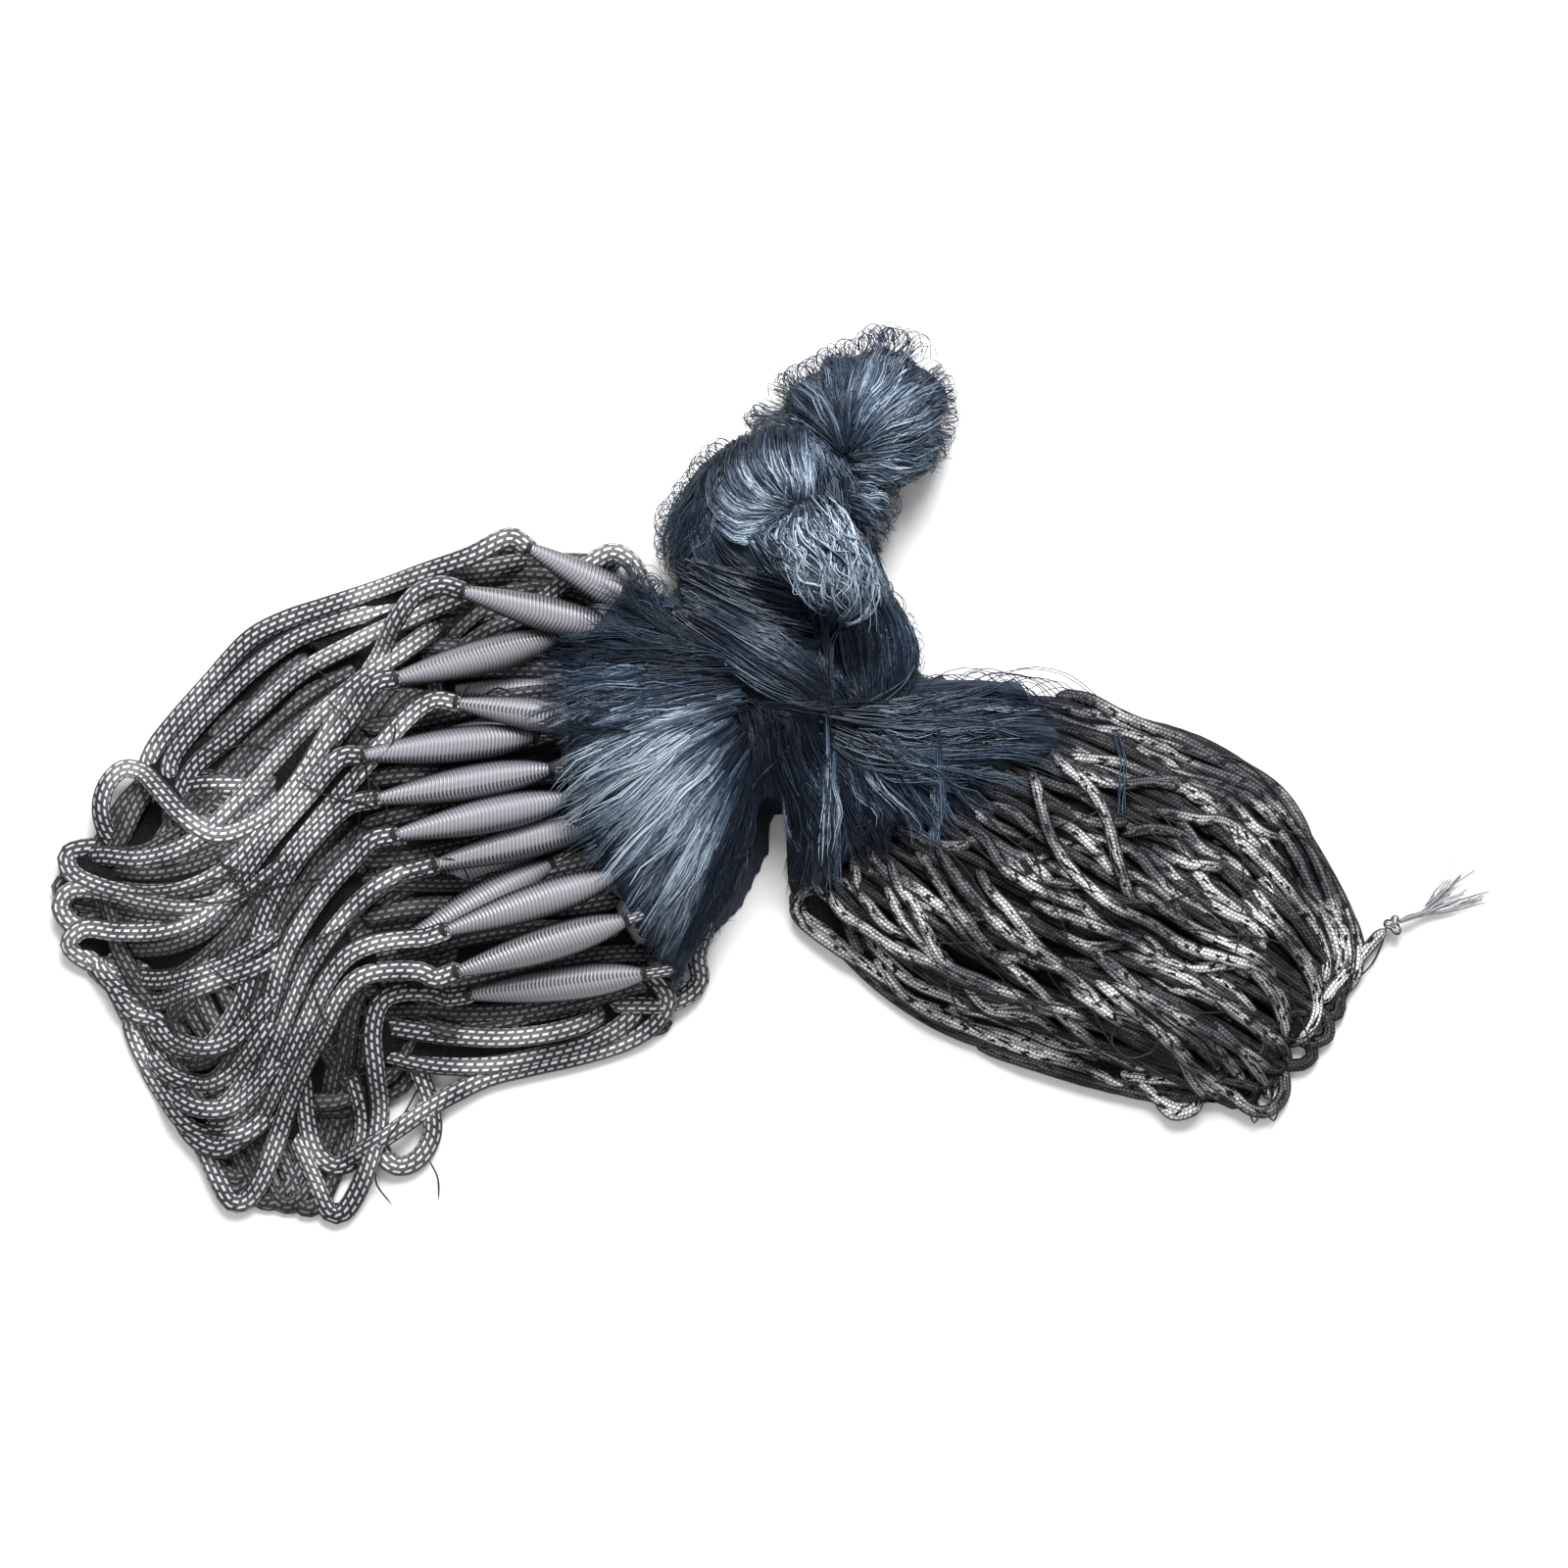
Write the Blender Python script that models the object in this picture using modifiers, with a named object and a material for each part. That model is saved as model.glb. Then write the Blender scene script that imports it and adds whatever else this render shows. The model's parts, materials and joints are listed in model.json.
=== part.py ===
"""Gill net gathered up for storage and laid on a flat surface.

The float line lies in a folded hank at -X with its floats side by side, the
netting is twisted into a knotted skein in the middle, and the lead line lies in
a second hank at +X, with its knotted, frayed end sticking out.
Metres, +Z up, origin in the middle of the footprint.  Tables are in millimetres.
"""

import math
from collections import namedtuple

import bmesh
import bpy
from mathutils import Matrix, Vector

MM = 0.001
GAP = 0.3 * MM                      # clearance between touching pieces

FLOAT_LENGTH = 64.0 * MM
FLOAT_DIAMETER = 13.4 * MM
FLOAT_STEPS = 9                     # facets round a float
FLOAT_LINE_RADIUS = 3.3 * MM
FLOAT_LINE_SINK = 1.0 * MM          # middle of the lowest line below its heap's top
FLOAT_LINE_RIDE = 9.0 * MM          # middle of the highest line above its heap's top
FLOAT_LINE_BURIAL = 8.0 * MM        # middle of a bight's hidden end below the top
FLOAT_LINE_LOW = 6.0 * MM           # turns lower than this pass under the heap's top
LASHING_RADIUS = 2.5 * MM           # middle of the twine round the line
LASHING_TWINE = 0.75 * MM           # half the thickness of the wound twine
LASHING_ROOM = 2.2 * MM             # from a float's tip to the end of its line

LEAD_LINE_RADIUS = 2.5 * MM
LEAD_BIGHT_RADIUS = 2.7 * MM        # a bight in the hank, with its neighbour's edge
LEAD_BIGHT_SWELL = 0.21             # how much fatter it is halfway, finer at its ends
LEAD_BIGHTS = 9                     # each runs out, turns back and returns
LEAD_BIGHT_LIFT = 1.0 * MM          # middle of a bight above the heap below it
LEAD_BIGHT_SWAY = 2.2 * MM          # how far bights wander from an even spread
LEAD_STEPS = 13                     # stations along a run
LEAD_TURN_OVERLAP = 1.5 * MM        # how far a turn runs past the two runs it joins
LEAD_END_BULGE = 14.0 * MM          # how far the middle bights outrun the edge ones
LEAD_END_HEADING = Vector((0.86, -0.5))

SKEIN_FLUTES = 6                    # locks of yarn round a lobe of the skein
FAN_FLUTES = 4                      # and round a lock of the fans
FLUTE_DEPTH = 0.08
DOME_STEPS = 16
MOUND_RINGS = 5
MOUND_FALL = 3                      # power of a heap's fall towards its rim
FLATTEN = math.radians(1.5)           # facets closer in angle than this are joined
CURVE_STEP = 1.5 * MM               # spacing of a curve before it is thinned
LONGEST_FACET = 30.0 * MM
SHARPEST_FACET = math.radians(21)
FLOOR_DEPTH = 40.0 * MM             # the block that trims all that is under z = 0
REGION_HEIGHT = 120.0 * MM
REGION_GAP = 0.4 * MM

# A float's left tip, the way it points, and how far its right tip is lower.
Float = namedtuple("Float", "x y z heading drop")
FLOATS = [
    Float(-66, 84, 20, -28, 12),
    Float(-90, 68, 30, -15, 18),
    Float(-114, 36, 37, 15, 24),
    Float(-94, 32, 12, -1, 3),
    Float(-92, 27, 30, -8, 7),
    Float(-110, 15, 10, 1, 2),
    Float(-126, 8, 38, 6.5, 18),
    Float(-121, -8, 35, 10, 10),
    Float(-114, -21, 38, 12, 10),
    Float(-100, -32, 30, 15, 10),
    Float(-114, -42, 18, 18, 11),
    Float(-115, -62, 20, 28, 2),
    Float(-96, -56, 33, 18, 0),
    Float(-92, -71, 28, 17, -2),
    Float(-88, -80, 17, 7, -4),
]

# Share of the length from the left tip, share of the half diameter.
FLOAT_PROFILE = [
    (0.0, 0.33), (0.1, 0.52), (0.25, 0.75), (0.42, 0.94), (0.58, 1.0),
    (0.74, 0.94), (0.88, 0.72), (1.0, 0.37),
]

# Heaps of hidden turns under the visible ones: the middle, the height, and how far
# the heap reaches every 15 degrees round from +X.
Heap = namedtuple("Heap", "x y height reach")
HEADINGS = 24
FLOAT_LINE_HEAPS = [
    Heap(-160, -36, 30, [
        63, 67, 76, 91, 113, 99, 87, 74, 65, 59, 61, 64,
        71, 68, 68, 70, 82, 100, 88, 92, 91, 80, 72, 65]),
    Heap(-66, -8, 18, [
        63, 64, 68, 73, 78, 80, 80, 76, 70, 64, 58, 56,
        55, 57, 63, 73, 89, 105, 93, 90, 88, 74, 65, 62]),
    Heap(-118, -18, 30, [
        30, 31, 33, 38, 46, 56, 62, 56, 46, 38, 33, 31,
        30, 31, 33, 38, 46, 56, 62, 56, 46, 38, 33, 31]),
]
LEAD_LINE_HEAPS = [
    Heap(128, -40, 36, [
        91, 84, 74, 66, 62, 62, 66, 69, 75, 76, 79, 86,
        92, 82, 69, 62, 59, 57, 59, 70, 92, 110, 103, 109]),
]
# Rounded heaps inside the netting: the middle, half sizes, height and turn.
Dome = namedtuple("Dome", "x y half_length half_width height turn")
NETTING_DOMES = [
    Dome(28, 66, 38, 34, 36, 90),
    Dome(58, 131, 26, 19, 20, 30),
    Dome(26, 20, 32, 30, 32, 90),
    Dome(-16, -4, 64, 42, 27, 90),
    Dome(72, 6, 54, 32, 24, 10),
]

# Bights of the float line: which float they leave, and x, y, z along them.
Bight = namedtuple("Bight", "name float route")
BIGHTS = [
    Bight("outer_top", 1, [
        (-88, 81, 22), (-106, 75, 19), (-124, 69, 17), (-142, 63, 15), (-157, 58, 14),
        (-170, 51, 18), (-184, 36, 14), (-198, 20, 10), (-206, 9, 8), (-208, 0, 6),
        (-203, -10, 5)]),
    Bight("second_top", None, [
        (-78, 78, 26), (-92, 75, 30), (-106, 69, 31), (-122, 62, 28), (-138, 57, 26),
        (-153, 51, 22),
        (-166, 42, 19), (-178, 31, 17), (-191, 17, 15), (-199, 5, 13), (-197, -3, 13),
        (-184, -3, 17), (-168, -4, 21), (-154, -8, 25)]),
    Bight("third_top", None, [
        (-94, 66, 31), (-112, 58, 32), (-131, 49, 30), (-149, 39, 27), (-164, 26, 25),
        (-177, 14, 22), (-189, 4, 18), (-195, -8, 15), (-190, -18, 14), (-178, -24, 16)]),
    Bight("fourth_top", None, [
        (-108, 50, 33), (-124, 38, 33), (-141, 24, 31), (-157, 8, 29), (-170, -6, 26),
        (-182, -18, 22), (-194, -26, 18), (-210, -30, 13), (-226, -29, 8),
        (-236, -31, 5)]),
    Bight("standing_loop", 2, [
        (-107, 67, 31), (-115, 57, 30), (-122, 43, 31), (-136, 21, 33), (-152, -4, 32),
        (-167, -17, 27), (-181, -21, 25), (-193, -14, 24), (-203, -4, 22), (-210, 2, 19),
        (-217, 3, 16), (-223, -3, 12), (-225, -12, 9), (-222, -22, 6), (-212, -30, 6)]),
    Bight("left_upper", 3, [
        (-131, 22, 36), (-147, 2, 33), (-162, -18, 28), (-176, -33, 24), (-192, -41, 20),
        (-210, -43, 16), (-226, -40, 12), (-236, -35, 8), (-237, -28, 5),
        (-222, -26, 3), (-204, -28, 5)]),
    Bight("left_middle", 5, [
        (-110, 22, 33), (-120, 11, 35), (-133, -4, 35), (-147, -20, 32), (-160, -34, 28),
        (-174, -44, 24), (-190, -48, 20), (-208, -46, 15), (-225, -42, 11),
        (-236, -42, 8), (-240, -48, 6), (-235, -55, 5), (-223, -57, 3), (-207, -58, 5)]),
    Bight("left_lower", 7, [
        (-146, -6, 36), (-160, -22, 32), (-172, -37, 28), (-185, -50, 23), (-201, -56, 18),
        (-218, -57, 13), (-231, -56, 9), (-237, -62, 6), (-228, -69, 3),
        (-212, -70, 5), (-195, -69, 8)]),
    Bight("long_first", 8, [
        (-134, -12, 36), (-146, -24, 34), (-156, -38, 31), (-163, -52, 28), (-167, -66, 25),
        (-171, -80, 21), (-178, -92, 17), (-187, -100, 13), (-198, -100, 9),
        (-206, -91, 6), (-206, -80, 4)]),
    Bight("long_second", 9, [
        (-130, -30, 37), (-141, -42, 35), (-150, -55, 31), (-157, -69, 28), (-161, -83, 25),
        (-165, -97, 21), (-171, -111, 16), (-180, -121, 12), (-190, -121, 8),
        (-199, -111, 5), (-206, -98, 3)]),
    Bight("long_third", 10, [
        (-114, -36, 33), (-126, -44, 33), (-138, -57, 30), (-147, -71, 27), (-154, -86, 24),
        (-160, -101, 20), (-167, -116, 15), (-177, -127, 10), (-188, -128, 6)]),
    Bight("long_fourth", 13, [
        (-110, -59, 34), (-123, -61, 34), (-133, -66, 32), (-141, -76, 29), (-147, -88, 26),
        (-153, -100, 22), (-160, -114, 17), (-168, -128, 12), (-180, -137, 8),
        (-191, -133, 5), (-199, -120, 3)]),
    Bight("bottom_tip", 14, [
        (-106, -71, 30), (-120, -71, 31), (-129, -74, 30), (-136, -82, 27), (-142, -94, 24),
        (-149, -106, 20), (-155, -120, 16), (-160, -134, 11), (-165, -147, 7),
        (-171, -156, 3), (-177, -157, 3), (-182, -149, 3), (-187, -138, 3),
        (-195, -126, 3)]),
    Bight("lowest_loop", 15, [
        (-102, -79, 20), (-114, -79, 22), (-121, -83, 22), (-124, -94, 20), (-123, -108, 17),
        (-122, -124, 12), (-125, -139, 8), (-130, -152, 5), (-136, -161, 3),
        (-141, -161, 3), (-146, -150, 3), (-151, -138, 5), (-156, -126, 8)]),
    Bight("inner_loop", None, [
        (-150, -112, 12), (-149, -126, 8), (-146, -138, 5), (-139, -144, 3), (-131, -140, 3),
        (-128, -128, 5), (-131, -112, 9), (-136, -98, 13)]),
    Bight("lower_edge", None, [
        (-128, -138, 8), (-117, -131, 9), (-107, -124, 6), (-95, -117, 5), (-82, -111, 3),
        (-66, -107, 3), (-48, -103, 3), (-32, -98, 3), (-21, -91, 5), (-16, -82, 8),
        (-20, -75, 10), (-28, -72, 12)]),
    Bight("under_edge", None, [
        (-120, -102, 8), (-102, -106, 6), (-80, -106, 5), (-59, -102, 5), (-40, -96, 6),
        (-28, -87, 8), (-26, -78, 10)]),
    Bight("under_float", None, [
        (-118, -92, 13), (-98, -95, 11), (-73, -96, 10), (-50, -92, 11), (-34, -84, 12)]),
    Bight("small_loop", None, [
        (-108, -108, 7), (-104, -120, 5), (-103, -132, 3), (-108, -141, 3), (-115, -144, 3),
        (-121, -140, 6), (-125, -130, 9)]),
    Bight("neck_side", None, [
        (-26, -84, 9), (-17, -84, 6), (-9, -81, 3), (-4, -75, 3), (-5, -66, 6),
        (-1, -52, 9), (5, -38, 13), (9, -26, 17), (12, -14, 20)]),
    Bight("top_right", None, [
        (-66, 62, 10), (-54, 72, 12), (-44, 79, 15), (-36, 83, 17), (-29, 79, 16),
        (-25, 71, 13), (-21, 62, 9)]),
    Bight("left_base", None, [
        (-231, -66, 5), (-222, -73, 3), (-206, -76, 5), (-188, -75, 8), (-172, -70, 12)]),
    Bight("left_base_low", None, [
        (-222, -76, 3), (-212, -85, 3), (-196, -87, 5), (-180, -82, 9)]),
]

# The two edges of the lead line's hank, which its bights fill evenly.
LEAD_TOP_EDGE = [
    (104, 27), (130, 29), (154, 21), (182, 9), (207, -8), (223, -28), (233, -47),
    (239, -58),
]
LEAD_BOTTOM_EDGE = [
    (27, -34), (34, -52), (58, -75), (92, -94), (124, -104), (150, -113), (168, -119),
    (191, -125),
]
# Bights that lie across the rest: x, y and how far they ride above the others.
LEAD_CROSSINGS = [
    [(114, 22, 1), (125, 12, 3), (136, 0, 3), (144, -12, 3), (150, -28, 3), (154, -46, 1)],
    [(108, 12, 1), (116, 3, 3), (121, -12, 3), (127, -28, 3), (138, -42, 3),
     (154, -54, 3), (174, -61, 2), (192, -66, 0)],
    [(44, -38, 1), (46, -48, 3), (58, -58, 3), (76, -66, 3), (98, -74, 3), (116, -78, 1)],
    [(83, -22, 1), (88, -32, 3), (98, -46, 3), (112, -58, 3), (126, -66, 2),
     (138, -74, 0)],
]

# Lobes of the skein: x, y, z and half thickness along each.
SKEIN_LOBES = [
    ("wrap", [(4, 54, 24, 12), (0, 70, 26, 15), (1, 86, 28, 16.5), (8, 101, 30, 17),
              (20, 111, 32, 16), (33, 112, 34, 13), (41, 104, 35, 9), (40, 96, 32, 6)]),
    ("front", [(36, 106, 36, 8), (37, 95, 41, 13), (40, 82, 44, 16), (45, 71, 43, 16.5),
               (51, 61, 38, 14), (56, 52, 30, 12)]),
    ("side", [(46, 103, 32, 7), (57, 99, 28, 10), (64, 97, 25, 7)]),
    ("heel", [(55, 61, 30, 12), (62, 52, 29, 13), (63, 41, 28, 13.5), (58, 30, 27, 13),
              (47, 22, 26, 12)]),
    ("twist", [(-6, 60, 28, 10), (7, 53, 36, 13), (20, 46, 41, 13), (32, 38, 41, 12),
               (42, 29, 37, 10), (50, 23, 30, 8)]),
    ("middle", [(12, 60, 28, 13), (18, 80, 33, 15), (26, 96, 31, 12)]),
    ("neck", [(26, 36, 30, 12), (27, 20, 31, 15), (26, 6, 24, 13), (24, -4, 17, 9)]),
]
# The folded end of the skein: locks that spread from a pinch, by heading and reach.
Lock = namedtuple("Lock", "heading reach radius")
PINCH = (49, 115, 26)
FAN_END = [
    Lock(150, 27, 10), Lock(120, 29, 11.5), Lock(92, 34, 13), Lock(65, 39, 14.5),
    Lock(40, 40, 14.5), Lock(16, 32, 12.5), Lock(-4, 22, 10),
]
# Locks of netting from the neck out to the two lines: x, y, z and half thickness.
FAN_LOCKS = [
    [(14, 30, 34, 6), (-6, 48, 33, 9), (-30, 65, 24, 10), (-42, 72, 18, 9)],
    [(10, 28, 35, 6), (-16, 42, 35, 9), (-42, 52, 27, 10), (-56, 56, 20, 9)],
    [(10, 26, 36, 6), (-20, 31, 38, 9), (-48, 36, 29, 10), (-62, 38, 22, 9)],
    [(10, 24, 37, 6), (-20, 20, 40, 9), (-48, 18, 31, 10), (-62, 16, 23, 9)],
    [(10, 20, 37, 6), (-18, 8, 40, 9), (-46, 1, 31, 10), (-60, -4, 23, 9)],
    [(12, 18, 37, 6), (-12, -4, 39, 9), (-40, -17, 30, 10), (-54, -24, 23, 9)],
    [(14, 14, 36, 6), (-6, -14, 37, 9), (-32, -35, 28, 10), (-46, -44, 22, 9)],
    [(16, 10, 35, 6), (0, -22, 34, 9), (-22, -52, 24, 9.5), (-34, -62, 18, 8)],
    [(18, 8, 34, 6), (5, -28, 28, 8), (-11, -62, 16, 8), (-18, -76, 10, 7)],
    [(18, 4, 32, 6), (6, -20, 22, 7), (-2, -44, 12, 5)],
    [(40, 24, 32, 6), (64, 28, 31, 9), (94, 29, 25, 9), (122, 28, 17, 7)],
    [(40, 20, 33, 6), (66, 19, 33, 9), (98, 16, 28, 9), (130, 10, 19, 8)],
    [(42, 16, 33, 6), (64, 9, 33, 9), (90, 2, 28, 9), (116, -8, 20, 8)],
    [(42, 12, 33, 6), (58, 0, 32, 9), (78, -14, 26, 8.5), (92, -26, 18, 7)],
    [(40, 10, 32, 6), (50, -6, 31, 9), (62, -24, 24, 8), (70, -38, 16, 7)],
    [(38, 8, 30, 6), (43, -10, 28, 8.5), (46, -30, 20, 8), (46, -46, 13, 7)],
    [(34, 8, 28, 6), (34, -10, 23, 7.5), (32, -30, 14, 6), (32, -44, 8, 5)],
]

# Seams between the masses, from the top of the bundle down.
FLOAT_SEAM = [
    (-27, 78), (-36, 64), (-47, 50), (-54, 34), (-53, 12), (-47, -13), (-38, -35),
    (-27, -57), (-14, -76), (-4, -92),
]
LEAD_SEAM = [
    (112, 60), (116, 32), (132, 19), (122, 2), (96, -4), (82, -17), (62, -20), (47, -34),
    (30, -40), (16, -46),
]
REGION_TOP = [(140, 200), (-60, 200), (-27, 90)]
REGION_NOTCH = [(14, -60), (4, -92)]

# The lead line's loose end, out to its knot, and the frayed end past the knot.
TAIL_ROUTE = [
    (226, -84, 5.6), (230, -78.6, 4.8), (234.5, -73.2, 3.9), (239.5, -67.6, 3.1),
    (244, -62.5, 3.0), (247.3, -58.7, 3.6), (250.1, -56.0, 4.6),
]
KNOT_CENTRE = Vector((252.5, -54.5, 5.0)) * MM
KNOT_RINGS = [                      # size, thickness and tilt of the knot's two turns
    (3.1 * MM, 2.2 * MM, 24), (2.9 * MM, 2.1 * MM, -38),
]
FRAY_STUB = [                       # x, y, z and thickness, out of the knot
    (254.9, -53.0, 5.0, 2.0), (257.7, -51.6, 4.6, 2.1), (261.0, -50.4, 3.7, 2.3),
    (264.5, -49.4, 3.0, 2.6),
]
TAIL_STEP = 6.0 * MM
FRAY_FILAMENTS = 9
FRAY_SHORTEST = 8.0 * MM
FRAY_LONGEST = 30.0 * MM
FRAY_RADIUS = 0.45 * MM
FRAY_HEADING = 32                   # degrees, middle of the spray
FRAY_SPREAD = 34                    # degrees, from side to side


# ---- scene and material helpers

def clear_scene():
    for thing in list(bpy.data.objects):
        bpy.data.objects.remove(thing, do_unlink=True)


def new_collection(name):
    collection = bpy.data.collections.new(name)
    bpy.context.scene.collection.children.link(collection)
    return collection


def new_material(name, colour, roughness, metallic=0.0):
    material = bpy.data.materials.new(name)
    material.use_nodes = True
    shader = material.node_tree.nodes["Principled BSDF"]
    shader.inputs["Base Color"].default_value = (*colour, 1.0)
    shader.inputs["Roughness"].default_value = roughness
    shader.inputs["Metallic"].default_value = metallic
    return material


def hide_tool(thing):
    thing.hide_render = True
    thing.display_type = "WIRE"


def finish_piece(thing, collection, material):
    thing.data.materials.clear()
    thing.data.materials.append(material)
    thing.data.shade_smooth()
    thing.data.set_sharp_from_angle(angle=math.radians(40))
    for holder in list(thing.users_collection):
        holder.objects.unlink(thing)
    collection.objects.link(thing)


# ---- geometry helpers

def smooth_route(knots, step):
    """Points every step or so on a smooth curve through the knots (any dimension)."""
    ends = [2 * knots[0] - knots[1], *knots, 2 * knots[-1] - knots[-2]]
    times = [0.0]
    for before, after in zip(ends, ends[1:]):
        times.append(times[-1] + math.sqrt((after - before).length) + 1e-9)
    points = []
    for i in range(1, len(ends) - 2):
        span = times[i + 1] - times[i]
        slope_in = (ends[i + 1] - ends[i - 1]) / (times[i + 1] - times[i - 1]) * span
        slope_out = (ends[i + 2] - ends[i]) / (times[i + 2] - times[i]) * span
        count = max(1, round((ends[i + 1] - ends[i]).length / step))
        for k in range(count):
            t = k / count
            points.append((2 * t**3 - 3 * t**2 + 1) * ends[i]
                          + (t**3 - 2 * t**2 + t) * slope_in
                          + (3 * t**2 - 2 * t**3) * ends[i + 1]
                          + (t**3 - t**2) * slope_out)
    points.append(knots[-1].copy())
    return points


def thin_route(points, reach=LONGEST_FACET, turn=SHARPEST_FACET):
    """Keep the points that a faceted tube needs: more of them in tight bends."""
    kept = [points[0]]
    start = (points[1] - points[0]).to_3d()
    for point, after in zip(points[1:-1], points[2:]):
        ahead = (after - point).to_3d()
        if (point - kept[-1]).length > reach or start.angle(ahead) > turn:
            kept.append(point)
            start = ahead
    kept.append(points[-1])
    return kept


def mesh_from(source, name, collection):
    """Turn a curve or a modified object into a welded mesh object of its own."""
    bpy.context.view_layer.update()
    evaluated = source.evaluated_get(bpy.context.evaluated_depsgraph_get())
    mesh = bpy.data.meshes.new_from_object(evaluated)
    mesh.name = name
    cleaned = bmesh.new()
    cleaned.from_mesh(mesh)
    bmesh.ops.remove_doubles(cleaned, verts=cleaned.verts, dist=1e-6)
    bmesh.ops.recalc_face_normals(cleaned, faces=cleaned.faces)
    cleaned.to_mesh(mesh)
    cleaned.free()
    result = bpy.data.objects.new(name, mesh)
    result.matrix_world = source.matrix_world
    collection.objects.link(result)
    bpy.data.objects.remove(source, do_unlink=True)
    return result


def tube(name, points, radius, collection, sides_level=1, swell=None, profile=None):
    """A POLY curve with a round bevel, or with the given closed profile."""
    curve = bpy.data.curves.new(name, "CURVE")
    curve.dimensions = "3D"
    curve.use_fill_caps = True
    if profile is None:
        curve.bevel_depth = radius
        curve.bevel_resolution = sides_level
    else:
        curve.bevel_mode = "OBJECT"
        curve.bevel_object = profile
    spline = curve.splines.new("POLY")
    spline.points.add(len(points) - 1)
    for i, point in enumerate(points):
        spline.points[i].co = (*point, 1.0)
        spline.points[i].radius = 1.0 if swell is None else swell[i]
    piece = bpy.data.objects.new(name + "_curve", curve)
    collection.objects.link(piece)
    return mesh_from(piece, name, collection)


def fluted_profile(flutes, collection):
    """Unit outline of a lobe of gathered netting, drawn in with shallow flutes."""
    curve = bpy.data.curves.new("lobe_outline", "CURVE")
    curve.dimensions = "2D"
    spline = curve.splines.new("POLY")
    count = 2 * flutes
    spline.points.add(count - 1)
    for i in range(count):
        angle = 2 * math.pi * i / count
        reach = 1.0 + (FLUTE_DEPTH if i % 2 else -FLUTE_DEPTH)
        spline.points[i].co = (reach * math.cos(angle), reach * math.sin(angle), 0.0, 1.0)
    spline.use_cyclic_u = True
    outline = bpy.data.objects.new("lobe_outline", curve)
    collection.objects.link(outline)
    hide_tool(outline)
    return outline


def turned(name, profile, steps, collection):
    """Turn (radius, height) pairs, listed top to bottom, round Z."""
    mesh = bpy.data.meshes.new(name)
    draft = bmesh.new()
    corners = [draft.verts.new((r, 0.0, z)) for r, z in profile]
    for above, below in zip(corners, corners[1:]):
        draft.edges.new((above, below))
    draft.to_mesh(mesh)
    draft.free()
    piece = bpy.data.objects.new(name + "_profile", mesh)
    collection.objects.link(piece)
    screw = piece.modifiers.new("turn", "SCREW")
    screw.steps = steps
    screw.render_steps = steps
    screw.use_merge_vertices = True
    screw.merge_threshold = 0.00005
    return mesh_from(piece, name, collection)


def mound(name, steps, collection):
    """Heap of unit height and reach, full in the middle and falling at the rim."""
    rings = [i / MOUND_RINGS for i in range(MOUND_RINGS + 1)]
    profile = [(share, 1.0 - share**MOUND_FALL) for share in rings] + [(0.0, 0.0)]
    return turned(name, profile, steps, collection)


def dome(name, row, collection):
    pile = mound(name, DOME_STEPS, collection)
    size = Matrix.Diagonal((row.half_length, row.half_width, row.height, 1.0))
    place = Matrix.Translation(Vector((row.x, row.y, 0.0)) * MM)
    pile.data.transform(place @ Matrix.Rotation(math.radians(row.turn), 4, "Z")
                        @ Matrix.Scale(MM, 4) @ size)
    return pile


def heap_reach(row, x, y):
    """How far a heap reaches from its middle towards a plan direction."""
    turn = math.atan2(y, x) / (2 * math.pi) * HEADINGS
    before = math.floor(turn)
    share = turn - before
    first = row.reach[before % HEADINGS]
    second = row.reach[(before + 1) % HEADINGS]
    return (first + (second - first) * share) * MM


def heap(name, row, collection):
    pile = mound(name, HEADINGS, collection)
    for corner in pile.data.vertices:
        x, y, z = corner.co
        reach = heap_reach(row, x, y)
        corner.co = (row.x * MM + x * reach, row.y * MM + y * reach, z * row.height * MM)
    return pile


def heap_height(rows, x, y):
    """Height of the heaps at a point, in metres."""
    best = 0.0
    for row in rows:
        across = Vector((x - row.x * MM, y - row.y * MM))
        share = across.length / heap_reach(row, across.x, across.y)
        best = max(best, row.height * MM * (1.0 - share**MOUND_FALL))
    return best


def prism(name, outline, bottom, top, collection):
    """An upright block over a plan outline, from a filled 2D curve."""
    curve = bpy.data.curves.new(name, "CURVE")
    curve.dimensions = "2D"
    curve.fill_mode = "BOTH"
    curve.extrude = (top - bottom) / 2
    spline = curve.splines.new("POLY")
    spline.points.add(len(outline) - 1)
    for i, (x, y) in enumerate(outline):
        spline.points[i].co = (x, y, 0.0, 1.0)
    spline.use_cyclic_u = True
    block = bpy.data.objects.new(name + "_curve", curve)
    block.location.z = (top + bottom) / 2
    collection.objects.link(block)
    return mesh_from(block, name, collection)


def offset_line(points, distance):
    """Move a plan line sideways, to the left of its run."""
    moved = []
    for i, point in enumerate(points):
        run = points[min(i + 1, len(points) - 1)] - points[max(i - 1, 0)]
        moved.append(point + Vector((-run.y, run.x)).normalized() * distance)
    return moved


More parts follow.
